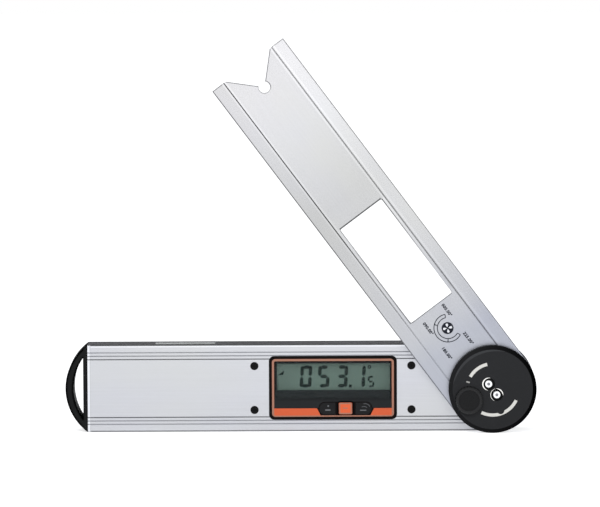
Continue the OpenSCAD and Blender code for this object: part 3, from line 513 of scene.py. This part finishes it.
# A lighter black for the painted highlight on the step inside the disc's rim
moulded("disc_glint", scaled(BLACK, 4.6), 0.42, specular=0.06, depth=0.01)
moulded("knob_black", scaled(BLACK, 0.75), 0.3, specular=0.12, grain=3600, depth=0.006, rim=knob_rim)
moulded("bezel_black", (0.003, 0.0012, 0.0011), 0.3, specular=0.06, depth=0.006)
moulded("inner_plastic", scaled(BLACK, 1.6), 0.5)
moulded("gap_black", scaled(BLACK, 0.1), 0.5, specular=0.02, depth=0.002)
moulded("black_steel", scaled(BLACK, 0.3), 0.35, specular=0.1, depth=0.004)
# Display and keys
moulded("orange_trim", ORANGE, 0.4, specular=0.4, depth=0.008, tone=0.05)
# A lighter salmon: painted highlight on the trim's and middle key's raised edges, and the middle key's
# print
moulded("trim_edge", SALMON, 0.35, specular=0.5, depth=0.004, tone=0.05)
clear("window_clear", (0.3, 0.33, 0.32), 0.03, haze=0.2)
liquid_crystal("lcd_glass", (0.115, 0.18, 0.15))
moulded("lcd_segment", (0.003, 0.012, 0.010), 0.4, specular=0.05, depth=0.001, tone=0.2)
moulded("display_mask", (0.0105, 0.0142, 0.0155), 0.35, specular=0.1, depth=0.002)
moulded("lower_mask", (0.0155, 0.0172, 0.0185), 0.35, specular=0.1, depth=0.002)
moulded("white_diffuser", (0.8, 0.8, 0.8), 0.5, tone=0.03)
# Painted highlights along the keys' edges
moulded("key_black", scaled(BLACK, 1.1), 0.35, specular=0.1, depth=0.008, edge_gain=1.6)
moulded("key_orange", scaled(ORANGE, 1.15), 0.4, specular=0.4, depth=0.008, tone=0.05, edge_gain=1.35)
# Electronics
striped("elastomer", (0.5, 0.3, 0.33), (0.1, 0.07, 0.08), pitch=0.5, rough=0.6)
striped("polyimide", (0.5, 0.27, 0.06), (0.34, 0.17, 0.04), pitch=1.0, rough=0.35)
circuit("circuit_board", (0.015, 0.11, 0.05), (0.03, 0.2, 0.09))
moulded("chip_black", scaled(BLACK, 1.5), 0.5)
turned_metal("nickel_contact", (0.66, 0.65, 0.62), 0.28, pitch=0.25)
# Hub, the bare metal where its black surface is cut (partly painted highlight), and painted shade in the
# screw sockets and along the blade's notch
turned_metal("bright_steel", (0.86, 0.87, 0.88), 0.2, pitch=0.4)
turned_metal("turned_steel", (0.56, 0.57, 0.59), 0.3)
turned_metal("bush_brass", (0.62, 0.44, 0.2), 0.3)
moulded("brake_fibre", (0.12, 0.08, 0.05), 0.7, grain=1500, depth=0.05, tone=0.3)
turned_metal("bare_edge", (0.88, 0.87, 0.84), 0.22, pitch=0.3)
turned_metal("bare_floor", (0.6, 0.595, 0.565), 0.38, pitch=0.35)
turned_metal("darker_floor", (0.33, 0.33, 0.32), 0.4, pitch=0.35)
turned_metal("socket_grey", (0.22, 0.22, 0.24), 0.4, pitch=0.3)
turned_metal("notch_edge_shade", (0.2, 0.2, 0.21), 0.42, pitch=0.3)
# Level vial
clear("vial_acrylic", (0.92, 0.95, 0.92), 0.8)
clear("vial_liquid", (0.5, 0.8, 0.2), 0.55)
# Prints
moulded("print_dark", PRINT, 0.55, specular=0.1, grain=4000, depth=0.002, tone=0.15)
moulded("light_print_and_sheen", (0.15, 0.155, 0.165), 0.5, specular=0.2, grain=4000, depth=0.002)
moulded("print_white", (0.86, 0.87, 0.9), 0.5, specular=0.2, grain=4000, depth=0.002, tone=0.03)

# Every CAD node takes the material of its slot
for part in frame["record"]["subparts"]:
    mesh = frame["nodes"][part["node"]].data
    mesh.materials.clear()
    mesh.materials.append(materials[part["material_slot"]])

# -----------------------------------------------------------------------------
# Outlines and solids in millimetres. Outlines run anticlockwise as seen from the front, angles too.


def polar(angle, radius, centre=(0, 0)):
    turn = math.radians(angle)
    return centre[0] + radius * math.cos(turn), centre[1] + radius * math.sin(turn)


def arc(centre, radius, start, end, steps=24):
    return [polar(start + (end - start) * i / steps, radius, centre) for i in range(steps + 1)]


def around(x, z, half_w, half_h):
    """Left, foot, right and top of a rectangle with a given middle."""
    return x - half_w, z - half_h, x + half_w, z + half_h


def rectangle(x0, z0, x1, z1):
    return [(x0, z0), (x1, z0), (x1, z1), (x0, z1)]


def round_rectangle(x0, z0, x1, z1, radius, steps=6):
    corners = ((x1 - radius, z0 + radius, 270), (x1 - radius, z1 - radius, 0),
               (x0 + radius, z1 - radius, 90), (x0 + radius, z0 + radius, 180))
    return [point for x, z, start in corners for point in arc((x, z), radius, start, start + 90, steps)]


def prism(outline, front, back):
    """A closed solid between two levels of Y."""
    count = len(outline)
    verts = [(x, front, z) for x, z in outline] + [(x, back, z) for x, z in outline]
    faces = [tuple(range(count)), tuple(range(2 * count - 1, count - 1, -1))]
    for i in range(count):
        after = (i + 1) % count
        faces.append((after, i, i + count, after + count))
    return verts, faces


def band(inner, outer, front, back, closed=True):
    """A solid strip between two outlines with the same number of points."""
    count = len(inner)
    verts = [(x, y, z) for y in (front, back) for line in (inner, outer) for x, z in line]
    near_in, near_out, far_in, far_out = (k * count for k in range(4))
    faces = []
    for i in range(count if closed else count - 1):
        j = (i + 1) % count
        faces.append((near_in + i, near_out + i, near_out + j, near_in + j))
        faces.append((far_in + j, far_out + j, far_out + i, far_in + i))
        faces.append((near_out + i, far_out + i, far_out + j, near_out + j))
        faces.append((near_in + j, far_in + j, far_in + i, near_in + i))
    if not closed:
        last = count - 1
        faces.append((near_in, far_in, far_out, near_out))
        faces.append((near_out + last, far_out + last, far_in + last, near_in + last))
    return verts, faces


def ring(centre, inner, outer, front, back, start=0.0, end=360.0, steps=48):
    """A flat ring or, with a start and an end, a sector of one."""
    closed = end - start >= 360
    if closed:
        end -= 360 / steps
        steps -= 1
    return band(arc(centre, inner, start, end, steps), arc(centre, outer, start, end, steps),
                front, back, closed)


def dot(centre, radius, front, back):
    """A flat round dot, as a ring whose hole is too small to be seen."""
    return ring(centre, 0.02, radius, front, back)


CRESCENT_TIP = 0.06                         # width of a crescent at its ends
CRESCENT_POWER = 0.7                        # the lower, the fuller it is beside them


def crescent(centre, outer, width, front, back, start, end, steps=24):
    """A ring sector whose width runs from almost nothing at its ends to "width" in its middle."""
    inner_line = []
    for i in range(steps + 1):
        wide = CRESCENT_TIP + width * math.sin(math.pi * i / steps) ** CRESCENT_POWER
        inner_line.append(polar(start + (end - start) * i / steps, outer - wide, centre))
    return band(inner_line, arc(centre, outer, start, end, steps), front, back, closed=False)


def added(name, data):
    """A new object in the scene."""
    obj = bpy.data.objects.new(name, data)
    bpy.context.scene.collection.objects.link(obj)
    return obj


def piece(name, solids, body, material):
    """Makes one object from solids (points, faces) in an arm's millimetre frame and hangs it on a body."""
    place = ON_BLADE if body == "arm" else ON_BODY
    verts, faces = [], []
    for points, sides in solids:
        start = len(verts)
        verts += [place @ Vector(point) for point in points]
        faces += [tuple(start + i for i in side) for side in sides]
    mesh = bpy.data.meshes.new(name)
    mesh.from_pydata(verts, [], faces)
    mesh.validate()
    mesh.materials.append(materials[material])
    obj = added(name, mesh)
    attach(obj, body)


FILM = 0.03                                 # thickness of a print


def film(front):
    """Levels of Y of a print on a face."""
    return front - FILM, front


# -----------------------------------------------------------------------------
# Display: digits, printed border and key marks

display = middle("display_bezel")
lcd_film = film(level("lcd_panel", 0))

# Lit bars of each digit that is shown: top, upper left, upper right, middle, lower left, ...
SEGMENTS = {"0": "t ul ur ll lr b", "1": "ur lr", "3": "t ur m lr b", "5": "t ul m lr b"}
SLANT = 0.06                                # how far the digits lean to the right, per height
BAR_GAP = 0.25


def digit(symbol, x, z, width, height, stroke):
    """The lit bars of a seven-segment digit whose foot is centred on (x, z)."""
    half = stroke / 2
    mid = height / 2
    tall = mid - stroke - BAR_GAP
    flat = width - 2 * stroke - 2 * BAR_GAP
    right = width / 2 - half

    def bar(cx, cz, length, upright=False):
        outline = [(-length / 2 - half, 0), (-length / 2, -half), (length / 2, -half),
                   (length / 2 + half, 0), (length / 2, half), (-length / 2, half)]
        if upright:
            outline = [(-b, a) for a, b in outline]
        return [(cx + a, cz + b) for a, b in outline]

    bars = {"t": bar(0, height - half, flat), "m": bar(0, mid, flat), "b": bar(0, half, flat)}
    for key, side, share in (("ul", -1, 1.5), ("ur", 1, 1.5), ("ll", -1, 0.5), ("lr", 1, 0.5)):
        bars[key] = bar(side * right, mid * share, tall, upright=True)
    return [prism([(x + a + SLANT * b, z + b) for a, b in bars[key]], *lcd_film)
            for key in SEGMENTS[symbol].split()]


FOOT = display.z - 0.3                      # foot line of the digits
LARGE = (6.9, 13.0, 2.05)                   # width, height and stroke of a digit
SMALL = (3.9, 6.7, 1.1)
# The reading: (digit, place from the display's middle, size)
READOUT = (("0", -16.1, LARGE), ("5", -5.7, LARGE), ("3", 4.9, LARGE), ("1", 15.2, LARGE),
           ("5", 22.1, SMALL))
POINT_X, POINT_Z, POINT_HALF = 10.2, 0.8, 0.85
DEGREE_X, DEGREE_Z, DEGREE_IN, DEGREE_OUT = 21.4, 11.7, 0.4, 1.1
ARROW = ((-32.0, 7.0), (-28.9, 7.2), (-28.5, 9.9))  # corners of the small sign at the left
digits = [bar for symbol, dx, size in READOUT for bar in digit(symbol, display.x + dx, FOOT, *size)]
point = around(display.x + POINT_X, FOOT + POINT_Z, POINT_HALF, POINT_HALF)
digits += [
    prism(rectangle(*point), *lcd_film),
    ring((display.x + DEGREE_X, display.z + DEGREE_Z), DEGREE_IN, DEGREE_OUT, *lcd_film),
    prism([(display.x + dx, display.z + dz) for dx, dz in ARROW], *lcd_film),
]
piece("lcd_digits", digits, "body", "lcd_segment")

# The border printed behind the window, round the visible liquid crystal
VIEW_HALF = 33.05                           # half its width
VIEW_SHIFT = 0.3                            # its middle, to the right of the display's
VIEW_TOP = 14.1
VIEW_FOOT = -1.55
lens = front_box("display_window")
lens_back = level("display_window", 1)
view_mid = display.x + VIEW_SHIFT
view = rectangle(view_mid - VIEW_HALF, display.z + VIEW_FOOT, view_mid + VIEW_HALF, display.z + VIEW_TOP)
piece("display_mask", [band(view, rectangle(*lens), lens_back, lens_back + FILM)],
      "body", "display_mask")

# The raised edge of the trim, in a lighter salmon as a painted highlight where it catches the light
TRIM_EDGE = 1.25                            # its width at the top and the sides
TRIM_FOOT = 0.7                             # its width at the bottom, under the keys
TRIM_R = 2.0
TRIM_RISE = 0.08
trim = front_box("bezel_trim")
trim_front = level("bezel_trim", 0)
trim_inner = round_rectangle(trim[0] + TRIM_EDGE, trim[1] + TRIM_FOOT,
                             trim[2] - TRIM_EDGE, trim[3] - TRIM_EDGE, TRIM_R - TRIM_EDGE)
piece("trim_edge", [band(trim_inner, round_rectangle(*trim, TRIM_R), trim_front - TRIM_RISE, trim_front)],
      "body", "trim_edge")

zero, power, hold = (middle(key) for key in ("zero_button", "power_button", "hold_button"))
key_film = film(level("zero_button", 0))
bezel_front = level("display_bezel", 0)
KEY_W = 7.7                                 # the middle key
KEY_H = 6.8
KEY_R = 0.8
LEAST_R = 0.3                               # of its outline where it is drawn smaller


def key_outline(grow):
    """Outline of the middle key, moved outwards by "grow"."""
    return round_rectangle(*around(hold.x, hold.z, KEY_W / 2 + grow, KEY_H / 2 + grow),
                           max(KEY_R + grow, LEAST_R))


def key_bar(key, left, foot, right, top, radius):
    """A printed bar on a key, its sides given from the key's middle."""
    return prism(round_rectangle(key.x + left, key.z + foot, key.x + right, key.z + top, radius), *key_film)


piece("zero_button_mark", [
    dot((zero.x + 0.5, zero.z + 1.5), 0.5, *key_film),
    key_bar(zero, -1.3, -1.3, 1.9, -0.5, 0.35),
], "zero_key", "light_print_and_sheen")
# The first arc on the power key is a painted highlight along its rounded upper edge; the second arc and the
# bar are print
piece("power_button_mark", [
    ring((power.x + 0.9, power.z - 0.2), 2.85, 3.1, *key_film, 25, 110, 12),
    ring((power.x + 0.2, power.z - 1.6), 2.6, 2.85, *key_film, 50, 120, 12),
    key_bar(power, -2.2, -1.4, 1.6, -0.8, 0.25),
], "power_key", "light_print_and_sheen")
# A painted highlight in salmon along the middle key's rounded edge
piece("hold_button_edge", [band(key_outline(-0.85), key_outline(-0.1), *key_film)],
      "hold_key", "trim_edge")
piece("hold_button_mark", [key_bar(hold, -1.5, -0.1, 1.3, 0.5, 0.25)],
      "hold_key", "trim_edge")
# Painted shade: a darker ring round the middle key stands in for the shadow in its gap
piece("key_gap", [band(key_outline(0.15), key_outline(1.0), bezel_front - 2 * FILM, bezel_front)],
      "body", "gap_black")

# The display's mask goes on below the glass, down to the orange strip and round the keys
STRIP_TOP = 5.0                             # height of the strip over the trim's foot
KEY_FLANGE = 0.6                            # hidden flange round each key
KEY_MOAT = 0.6                              # dark gap round the keys
MASK_GAP = 0.1                              # between the mask and the trim's raised edge and strip
LENS_LAP = 0.3                              # how far the mask runs up behind the window's foot
moat_r = KEY_H / 2 + KEY_MOAT
keys_left = front_box("zero_button")[0] + KEY_FLANGE + KEY_H / 2
keys_right = front_box("power_button")[2] - KEY_FLANGE - KEY_H / 2
keys_top = hold.z + moat_r
mask_left, mask_right = trim[0] + TRIM_EDGE + MASK_GAP, trim[2] - TRIM_EDGE - MASK_GAP
strip_z = trim[1] + STRIP_TOP + MASK_GAP
dip = math.degrees(math.asin((strip_z - hold.z) / moat_r))
outlines = [
    rectangle(mask_left, keys_top, mask_right, lens[1] + LENS_LAP),
    [(mask_left, keys_top), (mask_left, strip_z)] + arc((keys_left, hold.z), moat_r, 180 - dip, 90, 12),
    [(mask_right, strip_z), (mask_right, keys_top)] + arc((keys_right, hold.z), moat_r, 90, dip, 12),
]
lower_mask = [prism(outline, *film(bezel_front)) for outline in outlines]
# Its upper border is printed on the foot of the window, over the ledge that carries it
LEDGE = 1.2
lower_mask.append(prism(rectangle(lens[0], lens[1], lens[2], lens[1] + LEDGE),
                        *film(level("display_window", 0))))
piece("lower_mask", lower_mask, "body", "lower_mask")

# -----------------------------------------------------------------------------
# Hub: bare metal where the black surface is cut, with painted highlights and painted shade

disc_front = level("hub_disc", 0)
HUB_SCREW_R = 3.95                          # distance of the two screws from the pivot
BORE_R = 3.7                                # radius of their counterbores
GROOVE_R = 15.0                             # middle line of the two arc grooves
GROOVE_W = 2.1
UPPER_ARC = (155, 204)
LOWER_ARC = (296.6, 388.5)
LUG = (343.6, 13.25, 2.0)                   # angle, distance and radius of the lug in the lower groove
MARK = (216.3, 2.6, 1.3)                    # angle, length and width of the short radial slot
GROOVE_D = 1.0
BARE_FROM = 0.3                             # depth at which the bare metal in grooves and slot begins
cut_floor = (disc_front + BARE_FROM, disc_front + GROOVE_D)


def dial_angle(seen):
    """The angle in the blade's own frame of a direction seen while the tool reads as in the picture."""
    return seen + READING


# Painted highlights where the counterbores' bare walls catch the light: (screw, start, end, width), angles
# as seen
GLINTS = ((-1, 75, 262, 0.6), (1, -5, 95, 0.5), (1, 100, 250, 0.22))
GLINT_LAP = 0.05                            # by which they reach into the walls
glint_levels = (disc_front + 0.1, disc_front + 0.5)
glints = [crescent((side * HUB_SCREW_R, 0), BORE_R + GLINT_LAP, width, *glint_levels,
                   dial_angle(start), dial_angle(end)) for side, start, end, width in GLINTS]
piece("bore_rims", glints, "arm", "bare_edge")
# A painted highlight on the step just inside the disc's rim, angles as seen
STEP_R, STEP_W, STEP_START, STEP_END = 23.3, 1.5, 72, 172
step = crescent((0, 0), STEP_R, STEP_W, *film(disc_front), dial_angle(STEP_START), dial_angle(STEP_END), 48)
piece("disc_step", [step], "arm", "disc_glint")

BARE_MARGIN = 0.12                          # between a bare strip and the walls of its groove
BARE_STEPS = 40


def groove_floor(start, end, lug=None):
    """A bare strip that lies in an arc groove and gives way to the lug."""
    inner = []
    for i in range(BARE_STEPS + 1):
        angle = start + (end - start) * i / BARE_STEPS
        radius = GROOVE_R - GROOVE_W / 2 + BARE_MARGIN
        if lug is not None:
            bearing, distance, size = lug
            across = distance * math.sin(math.radians(angle - bearing))
            if abs(across) < size + BARE_MARGIN:
                reach = distance * math.cos(math.radians(angle - bearing))
                radius = max(radius, reach + math.sqrt((size + BARE_MARGIN) ** 2 - across ** 2))
        inner.append(polar(angle, radius))
    outer = arc((0, 0), GROOVE_R + GROOVE_W / 2 - BARE_MARGIN, start, end, BARE_STEPS)
    return band(inner, outer, *cut_floor, closed=False)


ARC_MARGIN = 0.6                            # the same margin at the ends, in degrees
floors = [groove_floor(UPPER_ARC[0] + ARC_MARGIN, UPPER_ARC[1] - ARC_MARGIN),
          groove_floor(LOWER_ARC[0] + ARC_MARGIN, LOWER_ARC[1] - ARC_MARGIN, LUG)]
piece("groove_floors", floors, "arm", "bare_floor")
mark_angle, mark_length, mark_width = MARK
END_MARGIN, SIDE_MARGIN = 0.25, 0.2         # between the bare metal and the slot's walls
half_l, half_w = mark_length / 2 - END_MARGIN, mark_width / 2 - SIDE_MARGIN
mark = [(GROOVE_R + x, z) for x, z in round_rectangle(*around(0, 0, half_l, half_w), half_w * 0.6)]
mark = [polar(mark_angle + math.degrees(math.atan2(z, x)), math.hypot(x, z)) for x, z in mark]
# The short slot's floor is a darker grey than the grooves' floors
piece("mark_floor", [prism(mark, *cut_floor)], "arm", "darker_floor")

# Painted shade: dark hexagons in the screw heads' sockets
SOCKET_R = 0.95
head_front = level("hub_screws", 0)
socket_levels = (head_front + 0.15, head_front + 0.9)
sockets = [prism(arc((side * HUB_SCREW_R, 0), SOCKET_R, 0, 300, 5), *socket_levels) for side in (-1, 1)]
piece("screw_sockets", sockets, "arm", "socket_grey")

# -----------------------------------------------------------------------------
# Blade: painted shade along the edges of the V-notch and round its relief hole

NOTCH_FOOT = 220.2                          # distance of the notch's foot from the pivot
RELIEF_R = 3.4                              # radius of the relief hole at its foot
RELIEF_LINE = 0.55                          # width of the dark line round it
RELIEF_START, RELIEF_END = -15, 80          # of that line, as seen
NOTCH_DEPTH = 16.0
NOTCH_LINES = ((-1, 0.28), (1, 0.5))        # side and width of the dark lines
web_film = film(web_front)
notch_lines = []
near, far = RELIEF_R / math.sqrt(2), NOTCH_DEPTH
for side, width in NOTCH_LINES:
    lean = width / math.sqrt(2)
    line = [(-NOTCH_FOOT - near, side * near), (-NOTCH_FOOT - far, side * far),
            (-NOTCH_FOOT - far + lean, side * (far + lean)),
            (-NOTCH_FOOT - near + lean, side * (near + lean))]
    notch_lines.append(prism(line if side < 0 else line[::-1], *web_film))
notch_lines.append(crescent((-NOTCH_FOOT, 0), RELIEF_R + RELIEF_LINE, RELIEF_LINE, *web_film,
                            dial_angle(RELIEF_START), dial_angle(RELIEF_END)))
piece("notch_lines", notch_lines, "arm", "notch_edge_shade")

# -----------------------------------------------------------------------------
# Print on the blade: a centre mark, a band for the measuring range and plain angles

DIAL = (-44.0, 0.4)                         # middle of the centre mark, in the blade's frame
MARK_R = 3.5                                # radius of the centre mark
LOBES = 4                                   # light drops on the mark, with their tips inwards
LOBE_TURN = 13                              # of the first one, as seen
LOBE_R = 0.72
LOBE_AT, LOBE_TIP = 2.0, 0.45               # distances of its round end and its tip from the mark's middle
LOBE_SWEEP = 120                            # of the round end, to each side
lobe_film = tuple(front - FILM / 2 for front in web_film)
lobes = []
for i in range(LOBES):
    bearing = dial_angle(LOBE_TURN + i * 360 / LOBES)
    shape = arc(polar(bearing, LOBE_AT, DIAL), LOBE_R, bearing - LOBE_SWEEP, bearing + LOBE_SWEEP, 16)
    lobes.append(prism(shape + [polar(bearing, LOBE_TIP, DIAL)], *lobe_film))
piece("centre_mark_lobes", lobes, "arm", "print_white")
piece("centre_mark", [dot(DIAL, MARK_R, *web_film)], "arm", "print_dark")

# The band lies a little to the right of the mark, as seen
BAND = polar(dial_angle(10), 0.25, DIAL)
BAND_IN, BAND_OUT, BAND_LINE = 6.2, 8.2, 0.5
BAND_START, BAND_END = 103, 331             # as seen, anticlockwise
TICKS = ((BAND_START, BAND_LINE), (166, 0.6), (270, 0.6), (BAND_END, BAND_LINE))  # (place, width)
dial = [ring(BAND, radius - BAND_LINE / 2, radius + BAND_LINE / 2, *web_film,
             dial_angle(BAND_START), dial_angle(BAND_END)) for radius in (BAND_IN, BAND_OUT)]
for seen, thick in TICKS:
    half = math.degrees(thick / 2 / BAND_OUT)
    angle = dial_angle(seen)
    dial.append(ring(BAND, BAND_IN, BAND_OUT, *web_film, angle - half, angle + half, 4))

LETTER_H = 2.45
LETTER_SPACE = 1.12
LETTER_BOLD = 0.12                          # by which the strokes are thickened on each side


def lettering(text, centre):
    """Plain text on the blade, along it, with its middle at a point."""
    curve = bpy.data.curves.new("lettering", "FONT")
    curve.body = text
    curve.size = LETTER_H
    curve.align_x = "CENTER"
    curve.align_y = "CENTER"
    curve.extrude = FILM / 2
    curve.offset = LETTER_BOLD
    curve.space_character = LETTER_SPACE
    curve.resolution_u = 4
    obj = added("lettering", curve)
    mesh = bpy.data.meshes.new_from_object(obj)
    bpy.data.objects.remove(obj)
    verts = [(centre[0] + v.co.x, sum(web_film) / 2 - v.co.z, centre[1] + v.co.y) for v in mesh.vertices]
    faces = [tuple(face.vertices) for face in mesh.polygons]
    bpy.data.meshes.remove(mesh)
    return verts, faces


# Plain angles beside the ends and the steps of the band: (text, place of its middle as seen, from the mark)
LABELS = (("000.00\u00b0", (-0.5, 10.5)), ("090.00\u00b0", (-11.4, -0.4)),
          ("180.00\u00b0", (-0.5, -14.8)), ("225.00\u00b0", (12.0, -6.0)))
for text, (dx, dz) in LABELS:
    centre = polar(dial_angle(math.degrees(math.atan2(dz, dx))), math.hypot(dx, dz), DIAL)
    dial.append(lettering(text, centre))
piece("dial_print", dial, "arm", "print_dark")

# -----------------------------------------------------------------------------
# Light, floor and camera

SOFT_LIGHT = ((0.95, 0.97, 1.0), 0.6)       # colour and strength
WHITE_LIGHT = ((1, 1, 1), 1.0)
FLOOR_SIZE = 12.0
FLOOR_CLOUDS = 3                            # periods to the metre
FLOOR_TONES = ((0.93, 0.93, 0.93), (0.95, 0.95, 0.95))
FLOOR_GLOW = 0.62                           # keeps the floor white to the camera and in reflections


def studio_world():
    """White to the camera and in reflections, and a plain soft light for everything else."""
    world = bpy.data.worlds.new("studio")
    bpy.context.scene.world = world
    world.use_nodes = True
    world.node_tree.nodes.clear()
    sky = Nodes(world.node_tree)
    path = sky.add("ShaderNodeLightPath").outputs
    reflected = sky.maths("MAXIMUM", path["Is Glossy Ray"], path["Is Transmission Ray"])
    seen = sky.maths("MAXIMUM", path["Is Camera Ray"], reflected)
    mix = sky.add("ShaderNodeMixShader")
    sky.link(seen, mix.inputs[0])
    for socket, (color, strength) in zip(mix.inputs[1:3], (SOFT_LIGHT, WHITE_LIGHT)):
        light = sky.add("ShaderNodeBackground")
        sky.feed(light.inputs["Color"], color)
        sky.feed(light.inputs["Strength"], strength)
        sky.link(light.outputs[0], socket)
    sky.link(mix.outputs[0], sky.add("ShaderNodeOutputWorld").inputs["Surface"])


def flat_face(name, corners, shader):
    mesh = bpy.data.meshes.new(name)
    mesh.from_pydata(corners, [], [(0, 1, 2, 3)])
    mesh.materials.append(shader.material)
    return added(name, mesh)


def pale_floor():
    """A white floor under the object that still takes its shadow."""
    shader = Shader("floor", specular=0.0)
    shader.set("Base Color", shader.mixed(shader.noise(FLOOR_CLOUDS, 2), *FLOOR_TONES))
    shader.set("Roughness", 0.9)
    path = shader.add("ShaderNodeLightPath")
    seen = shader.maths("MAXIMUM", path.outputs["Is Camera Ray"], path.outputs["Is Glossy Ray"])
    glow = shader.add("ShaderNodeEmission")
    shader.link(shader.maths("MULTIPLY", seen, FLOOR_GLOW), glow.inputs["Strength"])
    total = shader.add("ShaderNodeAddShader")
    shader.link(shader.principled.outputs[0], total.inputs[0])
    shader.link(glow.outputs[0], total.inputs[1])
    shader.link(total.outputs[0], shader.tree.nodes["Material Output"].inputs["Surface"])
    edges = rectangle(*around(0, 0, FLOOR_SIZE / 2, FLOOR_SIZE / 2))
    floor = flat_face("floor", [(x, y, 0) for x, y in edges], shader)


def dark_card():
    """A dark card behind the object, which only the reflections in its metal show."""
    half_width, distance, height = 1.5, 1.2, 1.0
    shader = Shader("back_card", specular=0.0)
    shader.set("Base Color", (0.02, 0.02, 0.022))
    corners = [(x, distance, z) for x, z in rectangle(-half_width, 0.0, half_width, height)]
    card = flat_face("back_card", corners, shader)
    card.visible_camera = False
    card.visible_diffuse = False
    card.visible_shadow = False


def area_light(name, place, target, size, power):
    lamp = bpy.data.lights.new(name, "AREA")
    lamp.shape = "RECTANGLE"
    lamp.size, lamp.size_y = size
    lamp.energy = power
    obj = added(name, lamp)
    obj.location = place
    obj.rotation_euler = (Vector(target) - Vector(place)).to_track_quat("-Z", "Y").to_euler()
    obj.visible_camera = False


def photo_camera():
    """The photograph's view: straight on, a few degrees from above, through a long lens."""
    distance = 3.0
    elevation = math.radians(5.0)
    roll = math.radians(-0.25)              # the photograph leans by this much
    pixels_per_mm = 1.71
    image_width = 600
    sensor = 36.0
    middle_height = 0.1035                  # of the picture
    target = Vector(((cad_box[0][0] + cad_box[1][0]) / 2, 0, middle_height))
    camera = bpy.data.cameras.new("camera")
    camera.sensor_width = sensor
    camera.lens = sensor * distance * pixels_per_mm / (image_width * MM)
    camera.clip_end = 50
    obj = added("camera", camera)
    obj.location = target + distance * Vector((0, -math.cos(elevation), math.sin(elevation)))
    aim = (target - obj.location).to_track_quat("-Z", "Y")
    obj.rotation_euler = (aim @ Quaternion((0, 0, 1), roll)).to_euler()
    bpy.context.scene.camera = obj


studio_world()
pale_floor()
dark_card()
area_light("key", place=(-0.25, -0.75, 0.8), target=(0, 0, 0.12), size=(0.6, 0.5), power=4.0)
area_light("fill", place=(0.9, -1.2, 0.6), target=(0, 0, 0.08), size=(1.0, 0.8), power=3.0)
GLOW_AT = 215                               # distance from the pivot, near the blade's far end
far_end = PIVOT + ON_BLADE.to_3x3() @ Vector((-GLOW_AT, 0, 0))
area_light("blade_glow", place=far_end + Vector((0, -0.5, -0.03)), target=far_end, size=(0.2, 0.2),
           power=0.09)
photo_camera()
bpy.context.scene.view_settings.view_transform = "Standard"
